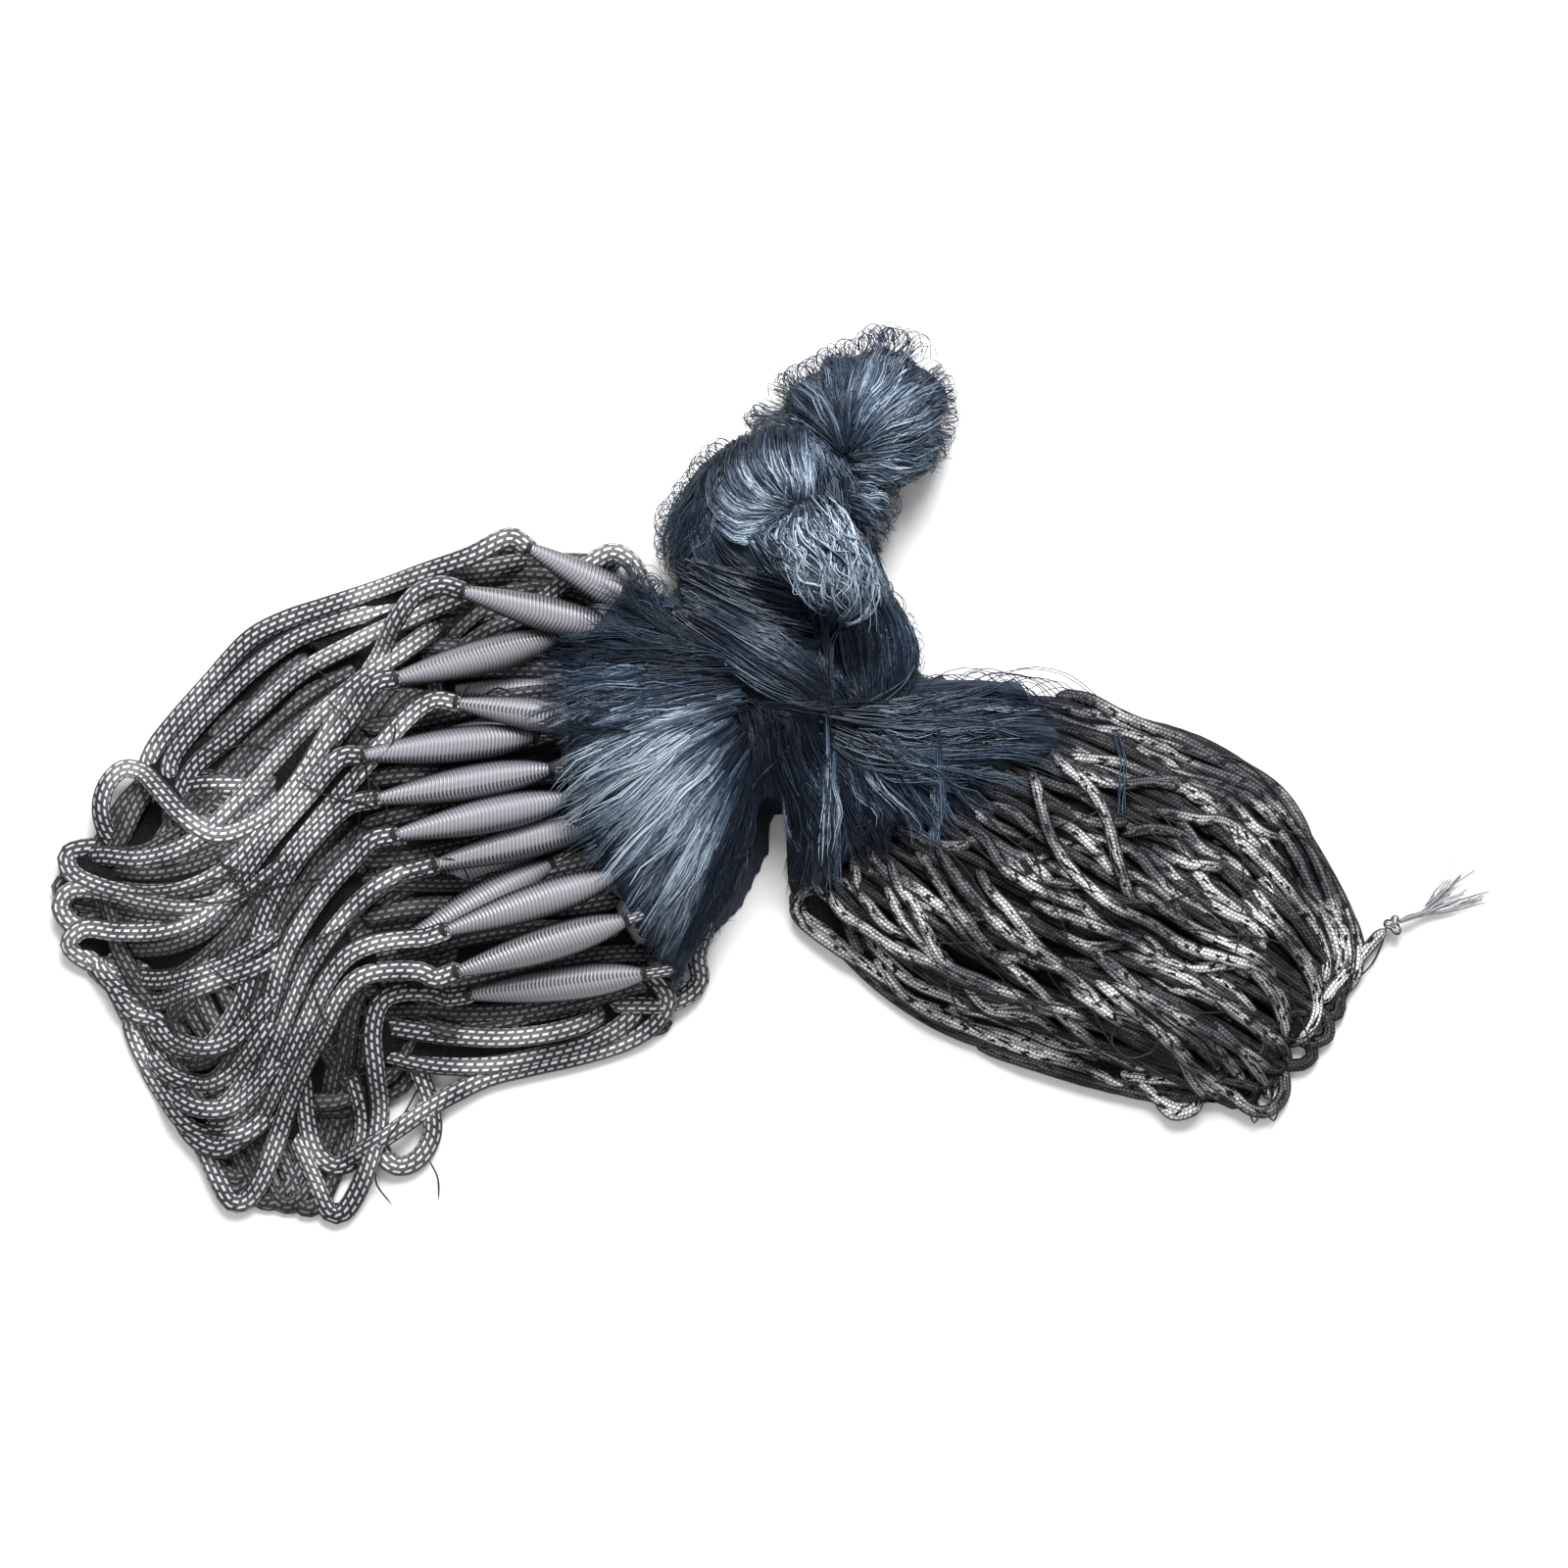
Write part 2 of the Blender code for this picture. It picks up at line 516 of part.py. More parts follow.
def keep_outer_shell(mesh, flatten):
    """Leave one closed body, with its nearly flat neighbours joined when asked."""
    draft = bmesh.new()
    draft.from_mesh(mesh)
    bmesh.ops.remove_doubles(draft, verts=draft.verts, dist=1e-6)
    left = set(draft.faces)
    shells = []
    while left:
        queue = [left.pop()]
        shell = set(queue)
        while queue:
            for edge in queue.pop().edges:
                for face in edge.link_faces:
                    if face in left:
                        left.discard(face)
                        shell.add(face)
                        queue.append(face)
        shells.append(shell)
    volume = {}
    for i, shell in enumerate(shells):
        total = 0.0
        for face in shell:
            a = face.verts[0].co
            for b, c in zip(face.verts[1:], face.verts[2:]):
                total += a.dot(b.co.cross(c.co))
        volume[i] = total
    biggest = max(volume, key=volume.get)
    crumbs = [f for i, shell in enumerate(shells) if i != biggest for f in shell]
    bmesh.ops.delete(draft, geom=crumbs, context="FACES")
    loose = [v for v in draft.verts if not v.link_faces]
    bmesh.ops.delete(draft, geom=loose, context="VERTS")
    if flatten:
        bmesh.ops.dissolve_limit(draft, angle_limit=FLATTEN, use_dissolve_boundaries=False,
                                 verts=draft.verts, edges=draft.edges)
        bmesh.ops.triangulate(draft, faces=draft.faces)
    draft.to_mesh(mesh)
    draft.free()


def fuse(name, solids, steps, tools):
    """Join solids into one body, then apply (operation, pieces) steps in turn."""
    base = solids[0]
    stages = [("UNION", solids[1:]), *steps]
    for i, (operation, pieces) in enumerate(stages):
        group = bpy.data.collections.new(f"{name}_{operation.lower()}_{i}")
        tools.children.link(group)
        for piece in pieces:
            group.objects.link(piece)
            hide_tool(piece)
        boolean = base.modifiers.new(group.name, "BOOLEAN")
        boolean.operation = operation
        boolean.operand_type = "COLLECTION"
        boolean.collection = group
        boolean.solver = "EXACT"
    return mesh_from(base, name, tools)


# ---- pieces

def float_solid(name, grow, tools):
    rows = [(share * FLOAT_LENGTH, size * FLOAT_DIAMETER / 2) for share, size in FLOAT_PROFILE]
    profile = [(r + grow, z) for z, r in reversed(rows)]
    profile[0] = (profile[0][0], profile[0][1] + grow)
    profile[-1] = (profile[-1][0], profile[-1][1] - grow)
    profile = [(0.0, profile[0][1]), *profile, (0.0, profile[-1][1])]
    return turned(name, profile, FLOAT_STEPS, tools)


def float_tips(row):
    left = Vector((row.x, row.y, row.z)) * MM
    drop = row.drop * MM
    plan = math.sqrt(FLOAT_LENGTH**2 - drop**2)
    heading = math.radians(row.heading)
    return left, left + Vector((plan * math.cos(heading), plan * math.sin(heading), -drop))


def along(row):
    left, right = float_tips(row)
    return (right - left).to_track_quat("Z", "Y")


def place_copy(master, name, location, rotation, collection):
    copy = bpy.data.objects.new(name, master.data)
    copy.rotation_mode = "QUATERNION"
    copy.rotation_quaternion = rotation
    copy.location = location
    collection.objects.link(copy)
    return copy


def lashing_solid(name, grow, tools):
    bpy.ops.mesh.primitive_torus_add(major_segments=8, minor_segments=4,
                                     major_radius=LASHING_RADIUS,
                                     minor_radius=LASHING_TWINE + grow)
    ring = bpy.context.object
    ring.name = name
    for holder in list(ring.users_collection):
        holder.objects.unlink(ring)
    tools.objects.link(ring)
    return ring


def make_floats(parts, tools, material, twine):
    """The floats and their lashings, and slightly larger copies that cut room for them."""
    master = float_solid("float_master", 0.0, tools)
    room_master = float_solid("float_room", GAP, tools)
    ring_master = lashing_solid("lashing_master", 0.0, tools)
    ring_room = lashing_solid("lashing_room", GAP, tools)
    lashed = {bight.float for bight in BIGHTS}
    clearances = []
    for number, row in enumerate(FLOATS, start=1):
        left, right = float_tips(row)
        turn = along(row)
        piece = place_copy(master, f"float_{number:02d}", left, turn, tools)
        finish_piece(piece, parts, material)
        clearances.append(place_copy(room_master, f"room_{number:02d}", left, turn, tools))
        if number in lashed:
            seat = left - (right - left).normalized() * LASHING_ROOM / 2
            ring = place_copy(ring_master, f"lashing_{number:02d}", seat, turn, tools)
            finish_piece(ring, parts, twine)
            clearances.append(place_copy(ring_room, f"ring_{number:02d}", seat, turn, tools))
    for thing in (master, room_master, ring_master, ring_room):
        bpy.data.objects.remove(thing, do_unlink=True)
    return clearances


def bight_points(row):
    knots = [Vector(point) * MM for point in row.route]
    if row.float:
        left, right = float_tips(FLOATS[row.float - 1])
        outward = (left - right).normalized()
        knots = [left + outward * LASHING_ROOM, left + outward * 4 * LASHING_ROOM, *knots]
    settled = knots[-len(row.route):]
    if row.float:
        settled = settled[2:]
    for knot in settled:
        top = heap_height(FLOAT_LINE_HEAPS, knot.x, knot.y)
        if knot is settled[-1]:
            knot.z = min(knot.z, top - FLOAT_LINE_BURIAL)
        elif knot.z > FLOAT_LINE_LOW:
            knot.z = min(max(knot.z, top - FLOAT_LINE_SINK), top + FLOAT_LINE_RIDE)
        knot.z = max(knot.z, FLOAT_LINE_RADIUS)
    return thin_route(smooth_route(knots, CURVE_STEP))


def make_float_line(tools):
    heaps = [heap(f"float_heap_{i}", row, tools) for i, row in enumerate(FLOAT_LINE_HEAPS)]
    bights = [tube(row.name, bight_points(row), FLOAT_LINE_RADIUS, tools)
              for row in BIGHTS if row.name != "neck_side"]
    return heaps + bights


def lead_spot(top, bottom, share, t, phase):
    """A point of the hank: share runs from edge to edge, t from the netting outwards."""
    above = top[round(t * (len(top) - 1))]
    below = bottom[round(t * (len(bottom) - 1))]
    sway = LEAD_BIGHT_SWAY * math.sin(phase + 7.0 * t) * min(1.0, 4 * t)
    bulge = LEAD_END_BULGE * math.sin(math.pi * share) * t**2
    return above.lerp(below, share) + Vector((0.4 * sway, sway)) + LEAD_END_HEADING * bulge


def on_lead_heap(spot, lift):
    height = heap_height(LEAD_LINE_HEAPS, spot.x, spot.y) + LEAD_BIGHT_LIFT + lift
    return Vector((spot.x, spot.y, max(height, LEAD_BIGHT_RADIUS)))


def lead_run(name, points, times, tools):
    """One run of lead line over the heap, a little fatter halfway along."""
    for point, t in zip(points, times):
        swell = 1.0 + LEAD_BIGHT_SWELL * (2.0 * math.sin(math.pi * t) - 1.0)
        point.resize_4d()
        point.w = LEAD_BIGHT_RADIUS * swell
    thinned = thin_route(smooth_route(points, CURVE_STEP))
    return tube(name, [point.to_3d() for point in thinned], 1.0, tools,
                swell=[point.w for point in thinned])


def make_lead_line(tools):
    heaps = [heap(f"lead_heap_{i}", row, tools) for i, row in enumerate(LEAD_LINE_HEAPS)]
    top = smooth_route([Vector(point) * MM for point in LEAD_TOP_EDGE], CURVE_STEP)
    bottom = smooth_route([Vector(point) * MM for point in LEAD_BOTTOM_EDGE], CURVE_STEP)
    solids = []
    for i in range(LEAD_BIGHTS):
        reach = 0.96 + 0.04 * math.sin(1.9 * i)
        times = [reach * k / LEAD_STEPS for k in range(LEAD_STEPS + 1)]
        ends = []
        for j in (2 * i, 2 * i + 1):
            share = j / (2 * LEAD_BIGHTS - 1)
            spots = [lead_spot(top, bottom, share, t, 2.3 * i) for t in times]
            points = [on_lead_heap(spot, 0.0) for spot in spots]
            ends.append(points[-1].copy())
            solids.append(lead_run(f"lead_run_{j}", points, times, tools))
        across = (ends[1] - ends[0]).normalized() * LEAD_TURN_OVERLAP
        solids.append(tube(f"lead_turn_{i}", [ends[0] - across, ends[1] + across],
                           LEAD_BIGHT_RADIUS, tools))
    for i, route in enumerate(LEAD_CROSSINGS):
        points = [on_lead_heap(Vector((x, y)) * MM, lift * MM) for x, y, lift in route]
        solids.append(tube(f"lead_crossing_{i}", thin_route(smooth_route(points, CURVE_STEP)),
                           LEAD_BIGHT_RADIUS, tools))
    return heaps + solids


def lobe(name, rows, outline, tools):
    knots = [Vector(row) * MM for row in rows]
    points = thin_route(smooth_route(knots, CURVE_STEP))
    return tube(name, [p.to_3d() for p in points], 1.0, tools,
                swell=[p.w for p in points], profile=outline)


def make_netting(tools):
    skein_outline = fluted_profile(SKEIN_FLUTES, tools)
    lock_outline = fluted_profile(FAN_FLUTES, tools)
    heaps = [dome(f"net_heap_{i}", row, tools) for i, row in enumerate(NETTING_DOMES)]
    lobes = [lobe(name, rows, skein_outline, tools) for name, rows in SKEIN_LOBES]
    for i, row in enumerate(FAN_END):
        heading = math.radians(row.heading)
        x, y, z = PINCH
        rows = [
            (x - 4 * math.cos(heading), y - 4 * math.sin(heading) - 3, z, 5),
            (x + row.reach * 0.3 * math.cos(heading), y + row.reach * 0.3 * math.sin(heading),
             z + 1, row.radius * 0.72),
            (x + row.reach * 0.7 * math.cos(heading), y + row.reach * 0.7 * math.sin(heading),
             z - 2, row.radius),
            (x + row.reach * math.cos(heading), y + row.reach * math.sin(heading),
             z - 8, row.radius * 0.86),
            (x + (row.reach + 4) * math.cos(heading), y + (row.reach + 4) * math.sin(heading),
             z - 11, row.radius * 0.5),
        ]
        lobes.append(lobe(f"fan_end_{i}", rows, lock_outline, tools))
    for i, rows in enumerate(FAN_LOCKS):
        lobes.append(lobe(f"fan_lock_{i}", rows, lock_outline, tools))
    for outline in (skein_outline, lock_outline):
        bpy.data.objects.remove(outline, do_unlink=True)
    return heaps + lobes


def net_region(name, margin, tools):
    """Plan block that holds the netting, with its two seams moved out by margin."""
    left = offset_line([Vector(point) * MM for point in FLOAT_SEAM], -margin)
    right = offset_line([Vector(point) * MM for point in LEAD_SEAM], margin)
    top = [Vector(point) * MM for point in REGION_TOP]
    notch = [Vector(point) * MM for point in REGION_NOTCH]
    plan = left + notch[::-1] + right[::-1] + top
    return prism(name, plan, -2 * FLOOR_DEPTH, REGION_HEIGHT, tools)


def tail_points(extra=0.0):
    """Middle of the loose end, made longer by extra at each end."""
    knots = [Vector(point) * MM for point in TAIL_ROUTE]
    points = smooth_route(knots, TAIL_STEP)
    points[0] = points[0] - (points[1] - points[0]).normalized() * extra
    points[-1] = points[-1] + (points[-1] - points[-2]).normalized() * extra
    return points


def make_knot(tools):
    rings = []
    run = Vector(FRAY_STUB[0][:3]) - Vector(TAIL_ROUTE[-1])
    for i, (size, thickness, tilt) in enumerate(KNOT_RINGS):
        bpy.ops.mesh.primitive_torus_add(major_segments=12, minor_segments=6,
                                         major_radius=size, minor_radius=thickness)
        ring = bpy.context.object
        ring.name = f"knot_turn_{i}"
        for holder in list(ring.users_collection):
            holder.objects.unlink(ring)
        tools.objects.link(ring)
        turn = run.to_track_quat("Z", "Y").to_matrix().to_4x4()
        ring.data.transform(Matrix.Translation(KNOT_CENTRE) @ turn
                            @ Matrix.Rotation(math.radians(tilt), 4, "X"))
        rings.append(ring)
    core = turned("knot_core", [(0.0, 3.6), (2.2, 3.0), (3.4, 0.0), (2.2, -3.0), (0.0, -3.6)],
                  10, tools)
    core.data.transform(Matrix.Translation(KNOT_CENTRE)
                        @ run.to_track_quat("Z", "Y").to_matrix().to_4x4()
                        @ Matrix.Scale(MM, 4))
    return [core, *rings]


def fray_stub(name, extra, tools):
    """Where the strands still hold together, made longer and fatter by extra."""
    route = [Vector(row[:3]) * MM for row in FRAY_STUB]
    route[0] = route[0] - (route[1] - route[0]).normalized() * extra
    swell = [row[3] * MM + extra for row in FRAY_STUB]
    return tube(name, route, 1.0, tools, 2, swell)


def make_fray(tools):
    root = Vector(FRAY_STUB[-1][:3]) * MM
    solids = [fray_stub("fray_stub", 0.0, tools)]
    for i in range(FRAY_FILAMENTS):
        share = i / (FRAY_FILAMENTS - 1)
        heading = math.radians(FRAY_HEADING + FRAY_SPREAD * (share - 0.5))
        reach = FRAY_SHORTEST + (FRAY_LONGEST - FRAY_SHORTEST) * (0.5 + 0.5 * math.sin(5.1 * i))
        ahead = Vector((math.cos(heading), math.sin(heading), 0.0))
        side = Vector((-ahead.y, ahead.x, 0.0)) * (share - 0.5) * 3.4 * MM
        start = root + side - ahead * 2.0 * MM
        knots = [start, start + ahead * 3.5 * MM]
        knots[1].z = 0.6 * root.z
        for part in (0.5, 1.0):
            bend = side.normalized() * math.sin(3.7 * i + 2.0 * part) * 0.06 * reach
            spot = root + side + ahead * reach * part + bend
            spot.z = FRAY_RADIUS
            knots.append(spot)
        points = thin_route(smooth_route(knots, CURVE_STEP), 12 * MM)
        solids.append(tube(f"filament_{i}", points, FRAY_RADIUS, tools, 0))
    return solids


def main():
    clear_scene()
    parts = new_collection("gill_net")
    tools = new_collection("gill_net_tools")
    braid = new_material("float_line_braid", (0.16, 0.16, 0.18), 0.7)
    foam = new_material("float_cover", (0.34, 0.33, 0.38), 0.45)
    twine = new_material("lashing_twine", (0.01, 0.01, 0.012), 0.6)
    yarn = new_material("netting_yarn", (0.03, 0.05, 0.09), 0.4)
    leaded = new_material("lead_line_braid", (0.45, 0.45, 0.47), 0.65)

    floor = prism("floor_block", [(-0.4, -0.3), (0.4, -0.3), (0.4, 0.3), (-0.4, 0.3)],
                  -FLOOR_DEPTH, 0.0, tools)
    room = make_floats(parts, tools, foam, twine)
    outer_region = net_region("outer_region", REGION_GAP, tools)
    inner_region = net_region("inner_region", 0.0, tools)

    tail = tube("lead_line_tail", tail_points(), LEAD_LINE_RADIUS, tools, 2)
    tail_room = tube("tail_room", tail_points(GAP), LEAD_LINE_RADIUS + GAP, tools, 2)
    neck_row = next(row for row in BIGHTS if row.name == "neck_side")
    neck_line = tube("neck_side", bight_points(neck_row), FLOAT_LINE_RADIUS, tools)
    neck_room = tube("neck_room", bight_points(neck_row), FLOAT_LINE_RADIUS + GAP, tools)

    float_line = fuse("float_line", make_float_line(tools),
                      [("DIFFERENCE", [outer_region]), ("UNION", [neck_line]),
                       ("DIFFERENCE", [floor, *room])], tools)
    netting = fuse("netting", make_netting(tools),
                   [("INTERSECT", [inner_region]), ("DIFFERENCE", [floor, neck_room, *room])],
                   tools)
    lead_line = fuse("lead_line", make_lead_line(tools),
                     [("DIFFERENCE", [outer_region, floor, tail_room])], tools)
    stub_room = fray_stub("stub_room", GAP, tools)
    knot = fuse("tail_knot", make_knot(tools),
                [("DIFFERENCE", [floor, tail_room, stub_room])], tools)
    fray = fuse("tail_fray", make_fray(tools), [("DIFFERENCE", [floor])], tools)

    for piece, material in ((float_line, braid), (netting, yarn), (lead_line, leaded),
                            (tail, leaded), (knot, leaded), (fray, leaded)):
        keep_outer_shell(piece.data, piece in (float_line, netting, lead_line))
        finish_piece(piece, parts, material)
    for thing in list(tools.all_objects):
        hide_tool(thing)


main()
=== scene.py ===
import json
import math
import random

import bpy
import numpy as np
from mathutils import Matrix, Vector
from mathutils.bvhtree import BVHTree

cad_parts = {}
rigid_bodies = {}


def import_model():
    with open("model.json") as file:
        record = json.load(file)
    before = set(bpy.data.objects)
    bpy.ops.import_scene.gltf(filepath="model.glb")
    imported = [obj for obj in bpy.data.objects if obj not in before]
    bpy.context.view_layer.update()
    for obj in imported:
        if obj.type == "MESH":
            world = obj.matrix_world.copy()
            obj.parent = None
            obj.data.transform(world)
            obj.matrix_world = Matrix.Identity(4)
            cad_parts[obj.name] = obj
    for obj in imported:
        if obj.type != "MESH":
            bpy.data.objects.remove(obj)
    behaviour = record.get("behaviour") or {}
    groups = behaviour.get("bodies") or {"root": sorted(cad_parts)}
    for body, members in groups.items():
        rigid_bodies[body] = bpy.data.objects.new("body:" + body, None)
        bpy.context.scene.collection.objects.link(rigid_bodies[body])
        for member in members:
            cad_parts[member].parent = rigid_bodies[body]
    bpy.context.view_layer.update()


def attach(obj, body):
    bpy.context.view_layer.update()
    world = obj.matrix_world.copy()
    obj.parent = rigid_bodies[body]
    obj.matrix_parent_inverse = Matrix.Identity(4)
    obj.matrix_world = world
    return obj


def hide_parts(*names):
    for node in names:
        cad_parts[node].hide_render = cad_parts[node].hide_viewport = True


for thing in list(bpy.data.objects):
    bpy.data.objects.remove(thing, do_unlink=True)

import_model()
mm = 0.001
floorGap = 0.1 * mm             # nothing goes lower than this
fullTurn = 2 * math.pi
dice = random.Random(41)


# helpers for objects, selection, routes and sweeps; routes are flat lists of mm

def addObject(name, data):
    thing = bpy.data.objects.new(name, data)
    bpy.context.scene.collection.objects.link(thing)
    return thing


def deselectAll():
    for thing in bpy.context.selected_objects:
        thing.select_set(False)


def makeActive(thing):
    deselectAll()
    thing.select_set(True)
    bpy.context.view_layer.objects.active = thing


def routeVectors(numbers):
    return [Vector(numbers[k:k + 3]) * mm for k in range(0, len(numbers), 3)]


def arrayOf(route):
    return np.array([tuple(point) for point in route])


def smoothRoute(knots, step):
    ends = [2 * knots[0] - knots[1], *knots, 2 * knots[-1] - knots[-2]]
    times = [0.0]
    for before, after in zip(ends, ends[1:]):
        times.append(times[-1] + math.sqrt((after - before).length) + 1e-9)
    points = []
    for i in range(1, len(ends) - 2):
        span = times[i + 1] - times[i]
        slopeIn = (ends[i + 1] - ends[i - 1]) / (times[i + 1] - times[i - 1]) * span
        slopeOut = (ends[i + 2] - ends[i]) / (times[i + 2] - times[i]) * span
        count = max(1, round((ends[i + 1] - ends[i]).length / step))
        for k in range(count):
            t = k / count
            points.append((2 * t**3 - 3 * t**2 + 1) * ends[i] + (t**3 - 2 * t**2 + t) * slopeIn
                          + (3 * t**2 - 2 * t**3) * ends[i + 1] + (t**3 - t**2) * slopeOut)
    points.append(knots[-1].copy())
    return points


def planRoute(numbers, step):
    return smoothRoute([Vector((x, y, 0)) * mm for x, y in zip(numbers[::2], numbers[1::2])],
                       step)


def lengthsAlong(places):
    gaps = np.linalg.norm(np.diff(places, axis=0), axis=1)
    return np.concatenate([[0], np.cumsum(gaps)])


def evenRoute(points, count):
    # the same line with its points spread evenly
    places = arrayOf(points)
    along = lengthsAlong(places)
    wanted = np.linspace(0, along[-1], count)
    return np.stack([np.interp(wanted, along, places[:, k]) for k in range(places.shape[1])], 1)


def outlineCurve(width, height, sides):
    curve = bpy.data.curves.new("section", "CURVE")
    curve.dimensions = "2D"
    spline = curve.splines.new("POLY")
    spline.points.add(sides - 1)
    for i in range(sides):
        turn = -fullTurn * i / sides
        spline.points[i].co = (width / 2 * math.cos(turn), height / 2 * math.sin(turn), 0, 1)
    spline.use_cyclic_u = True
    return addObject("section", curve)


def raiseToFloor(mesh):
    for vertex in mesh.vertices:
        vertex.co.z = max(vertex.co.z, floorGap)
    mesh.shade_smooth()


roundedEnd = [0.06, 0.78]       # a line's thickness at its first two points
uvStart = 0.137                 # each line in a piece starts this much further on in its UV map


def sweepRoutes(name, routes, width, height=None, sides=8, radii=None, tilts=None, shades=None):
    # one mesh from many routes, with metres along and turns round, or shade, in its UV map
    section = outlineCurve(width * mm, (height or width) * mm, sides)
    curve = bpy.data.curves.new(name, "CURVE")
    curve.dimensions = "3D"
    curve.twist_mode = "Z_UP"
    curve.bevel_mode = "OBJECT"
    curve.bevel_object = section
    along, around = [], []
    for i, route in enumerate(routes):
        route = np.asarray([tuple(point)[:3] for point in route], float)
        count = len(route)
        spline = curve.splines.new("POLY")
        spline.points.add(count - 1)
        spline.points.foreach_set("co", np.column_stack([route, np.ones(count)]).ravel())
        sizes = radii[i] if radii else [*roundedEnd, *[1.0] * (count - 4), *roundedEnd[::-1]]
        spline.points.foreach_set("radius", np.asarray(sizes, float))
        if tilts:
            spline.points.foreach_set("tilt", np.asarray(tilts[i], float))
        along.append(np.repeat(lengthsAlong(route) + uvStart * i, sides))
        if shades:
            around.append(np.repeat(np.asarray(shades[i], float), sides))
    makeActive(addObject(name, curve))
    bpy.ops.object.convert(target="MESH")
    piece = bpy.context.view_layer.objects.active
    piece.name = piece.data.name = name
    bpy.data.objects.remove(section, do_unlink=True)
    mesh = piece.data
    corner = np.zeros(len(mesh.loops), int)
    mesh.loops.foreach_get("vertex_index", corner)
    layer = mesh.uv_layers[0] if mesh.uv_layers else mesh.uv_layers.new(name="UVMap")
    uv = np.zeros(len(mesh.loops) * 2)
    layer.data.foreach_get("uv", uv)
    uv = uv.reshape(-1, 2)
    uv[:, 0] = np.concatenate(along)[corner]
    if shades:
        uv[:, 1] = np.concatenate(around)[corner]
    layer.data.foreach_set("uv", uv.ravel())
    raiseToFloor(mesh)
    return piece


def finishPiece(piece, material, nodes=()):
    piece.data.materials.clear()
    piece.data.materials.append(material)
    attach(piece, "root")
    if nodes:
        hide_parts(*nodes)
    return piece


# camera, looking straight down on the net

cameraSetup = {"place": (0.0272, -0.0025, 2.22), "lens": 137.5, "sensor": 36, "clip": (0.01, 20)}


def makeCamera(setup):
    camera = addObject("camera", bpy.data.cameras.new("camera"))
    camera.location = setup["place"]
    camera.data.lens = setup["lens"]
    camera.data.sensor_width = setup["sensor"]
    camera.data.clip_start, camera.data.clip_end = setup["clip"]
    bpy.context.scene.camera = camera


makeCamera(cameraSetup)
print("camera set")


# materials

class Look:
    # a material under construction; each value is a constant, or a socket to join

    def __init__(self, name, roughness, shine=0.5):
        self.material = bpy.data.materials.new(name)
        self.material.use_nodes = True
        self.sockets = self.material.node_tree.nodes["Principled BSDF"].inputs
        self.fill("Roughness", roughness)
        self.fill("Specular IOR Level", shine)
        coords = self.node("TexCoord").outputs
        self.uv, self.place, self.normal = coords["UV"], coords["Object"], coords["Normal"]

    def fill(self, key, value, sockets=None):
        socket = (sockets or self.sockets)[key]
        if isinstance(value, bpy.types.NodeSocket):
            self.material.node_tree.links.new(value, socket)
        elif socket.type == "RGBA":
            socket.default_value = (*value, 1)
        else:
            socket.default_value = value

    def node(self, kind, values=None, **settings):
        node = self.material.node_tree.nodes.new("ShaderNode" + kind)
        for key, value in settings.items():
            setattr(node, key, value)
        for key, value in (values or {}).items():
            self.fill(key, value, node.inputs)
        return node

    def math(self, operation, *values, clamp=False):
        return self.node("Math", dict(enumerate(values)), operation=operation,
                         use_clamp=clamp).outputs[0]

    def mix(self, factor, first, second, blend="MIX"):
        # socket 0 is the factor, and 6 and 7 are the two colours
        return self.node("Mix", {0: factor, 6: first, 7: second}, data_type="RGBA",
                         blend_type=blend).outputs[2]

    def split(self, vector):
        return self.node("SeparateXYZ", {0: vector}).outputs

    def combine(self, *values):
        return self.node("CombineXYZ", dict(enumerate(values))).outputs[0]

    def scaled(self, vector, scale, turn=0.0):
        return self.node("Mapping", {"Vector": vector, "Scale": scale,
                                     "Rotation": (0, 0, turn)}).outputs[0]

    def noise(self, vector, scale, detail=3.0, rough=0.5):
        return self.node("TexNoise", {"Vector": vector, "Scale": scale, "Detail": detail,
                                      "Roughness": rough}).outputs["Fac"]

    def ramp(self, factor, stops):
        node = self.node("ValToRGB", {"Fac": factor})
        elements = node.color_ramp.elements
        while len(elements) < len(stops):
            elements.new(0.5)
        for element, (place, colour) in zip(elements, stops):
            element.position = place
            element.color = (*colour, 1)
        return node.outputs["Color"]

    def threshold(self, factor, low, high):
        return self.ramp(factor, [(low, (0, 0, 0)), (high, (1, 1, 1))])

    def bump(self, height, distance):
        values = {"Height": height, "Distance": distance * mm, "Strength": 1.0}
        self.fill("Normal", self.node("Bump", values).outputs["Normal"])

    def paintFlankShade(self, colour, low, lowest):
        # painted shade: a rope's sides and underside are painted darker than its top, by which way
        # the surface faces
        paintedShade = self.node("MapRange", {
            "Value": self.split(self.normal)[2], "From Min": lowest, "From Max": 1.0,
            "To Min": low, "To Max": 1.0}).outputs["Result"]
        grey = self.node("CombineColor", {k: paintedShade for k in range(3)}).outputs[0]
        self.fill("Base Color", self.mix(1.0, colour, grey, "MULTIPLY"))

    def packed(self, vector, scale, stops, relief):
        # tightly packed strands
        fine = self.noise(vector, scale, 4.0, 0.7)
        self.fill("Base Color", self.ramp(fine, stops))
        self.bump(fine, relief)
        return self.material


floatBraid = {
    "pitch": 3.7 * mm,          # from one dash to the next along the line
    "rows": 10,                 # dashes round the line
    "stretch": 1.7,
    "gap": 0.345,
    "slant": 0.45,
    "edge": 3.2,                # how sharply a dash ends
    "light": (0.95, 0.95, 0.97),
    "pale": (0.46, 0.46, 0.49),
    "dark": (0.015, 0.015, 0.019),
    "lit": (0.15, 0.15, 0.16),
    "flank": 0.12,              # painted shade: how dark the sides are beside the top
    "side": 0.2,                # and how far up that reaches
    "shine": 0.45,
    "roughness": 0.66,
    "wear": (34.0, 0.42, 0.62),     # how fine the worn patches are, and where they begin and end
    "relief": 0.45,
}
# a darker copy of the braid for the lower and rim turns: painted shade
shadedDeepBraid = {**floatBraid, "light": (0.30, 0.30, 0.32), "pale": (0.12, 0.12, 0.13),
             "dark": (0.006, 0.006, 0.008), "lit": (0.03, 0.03, 0.034)}
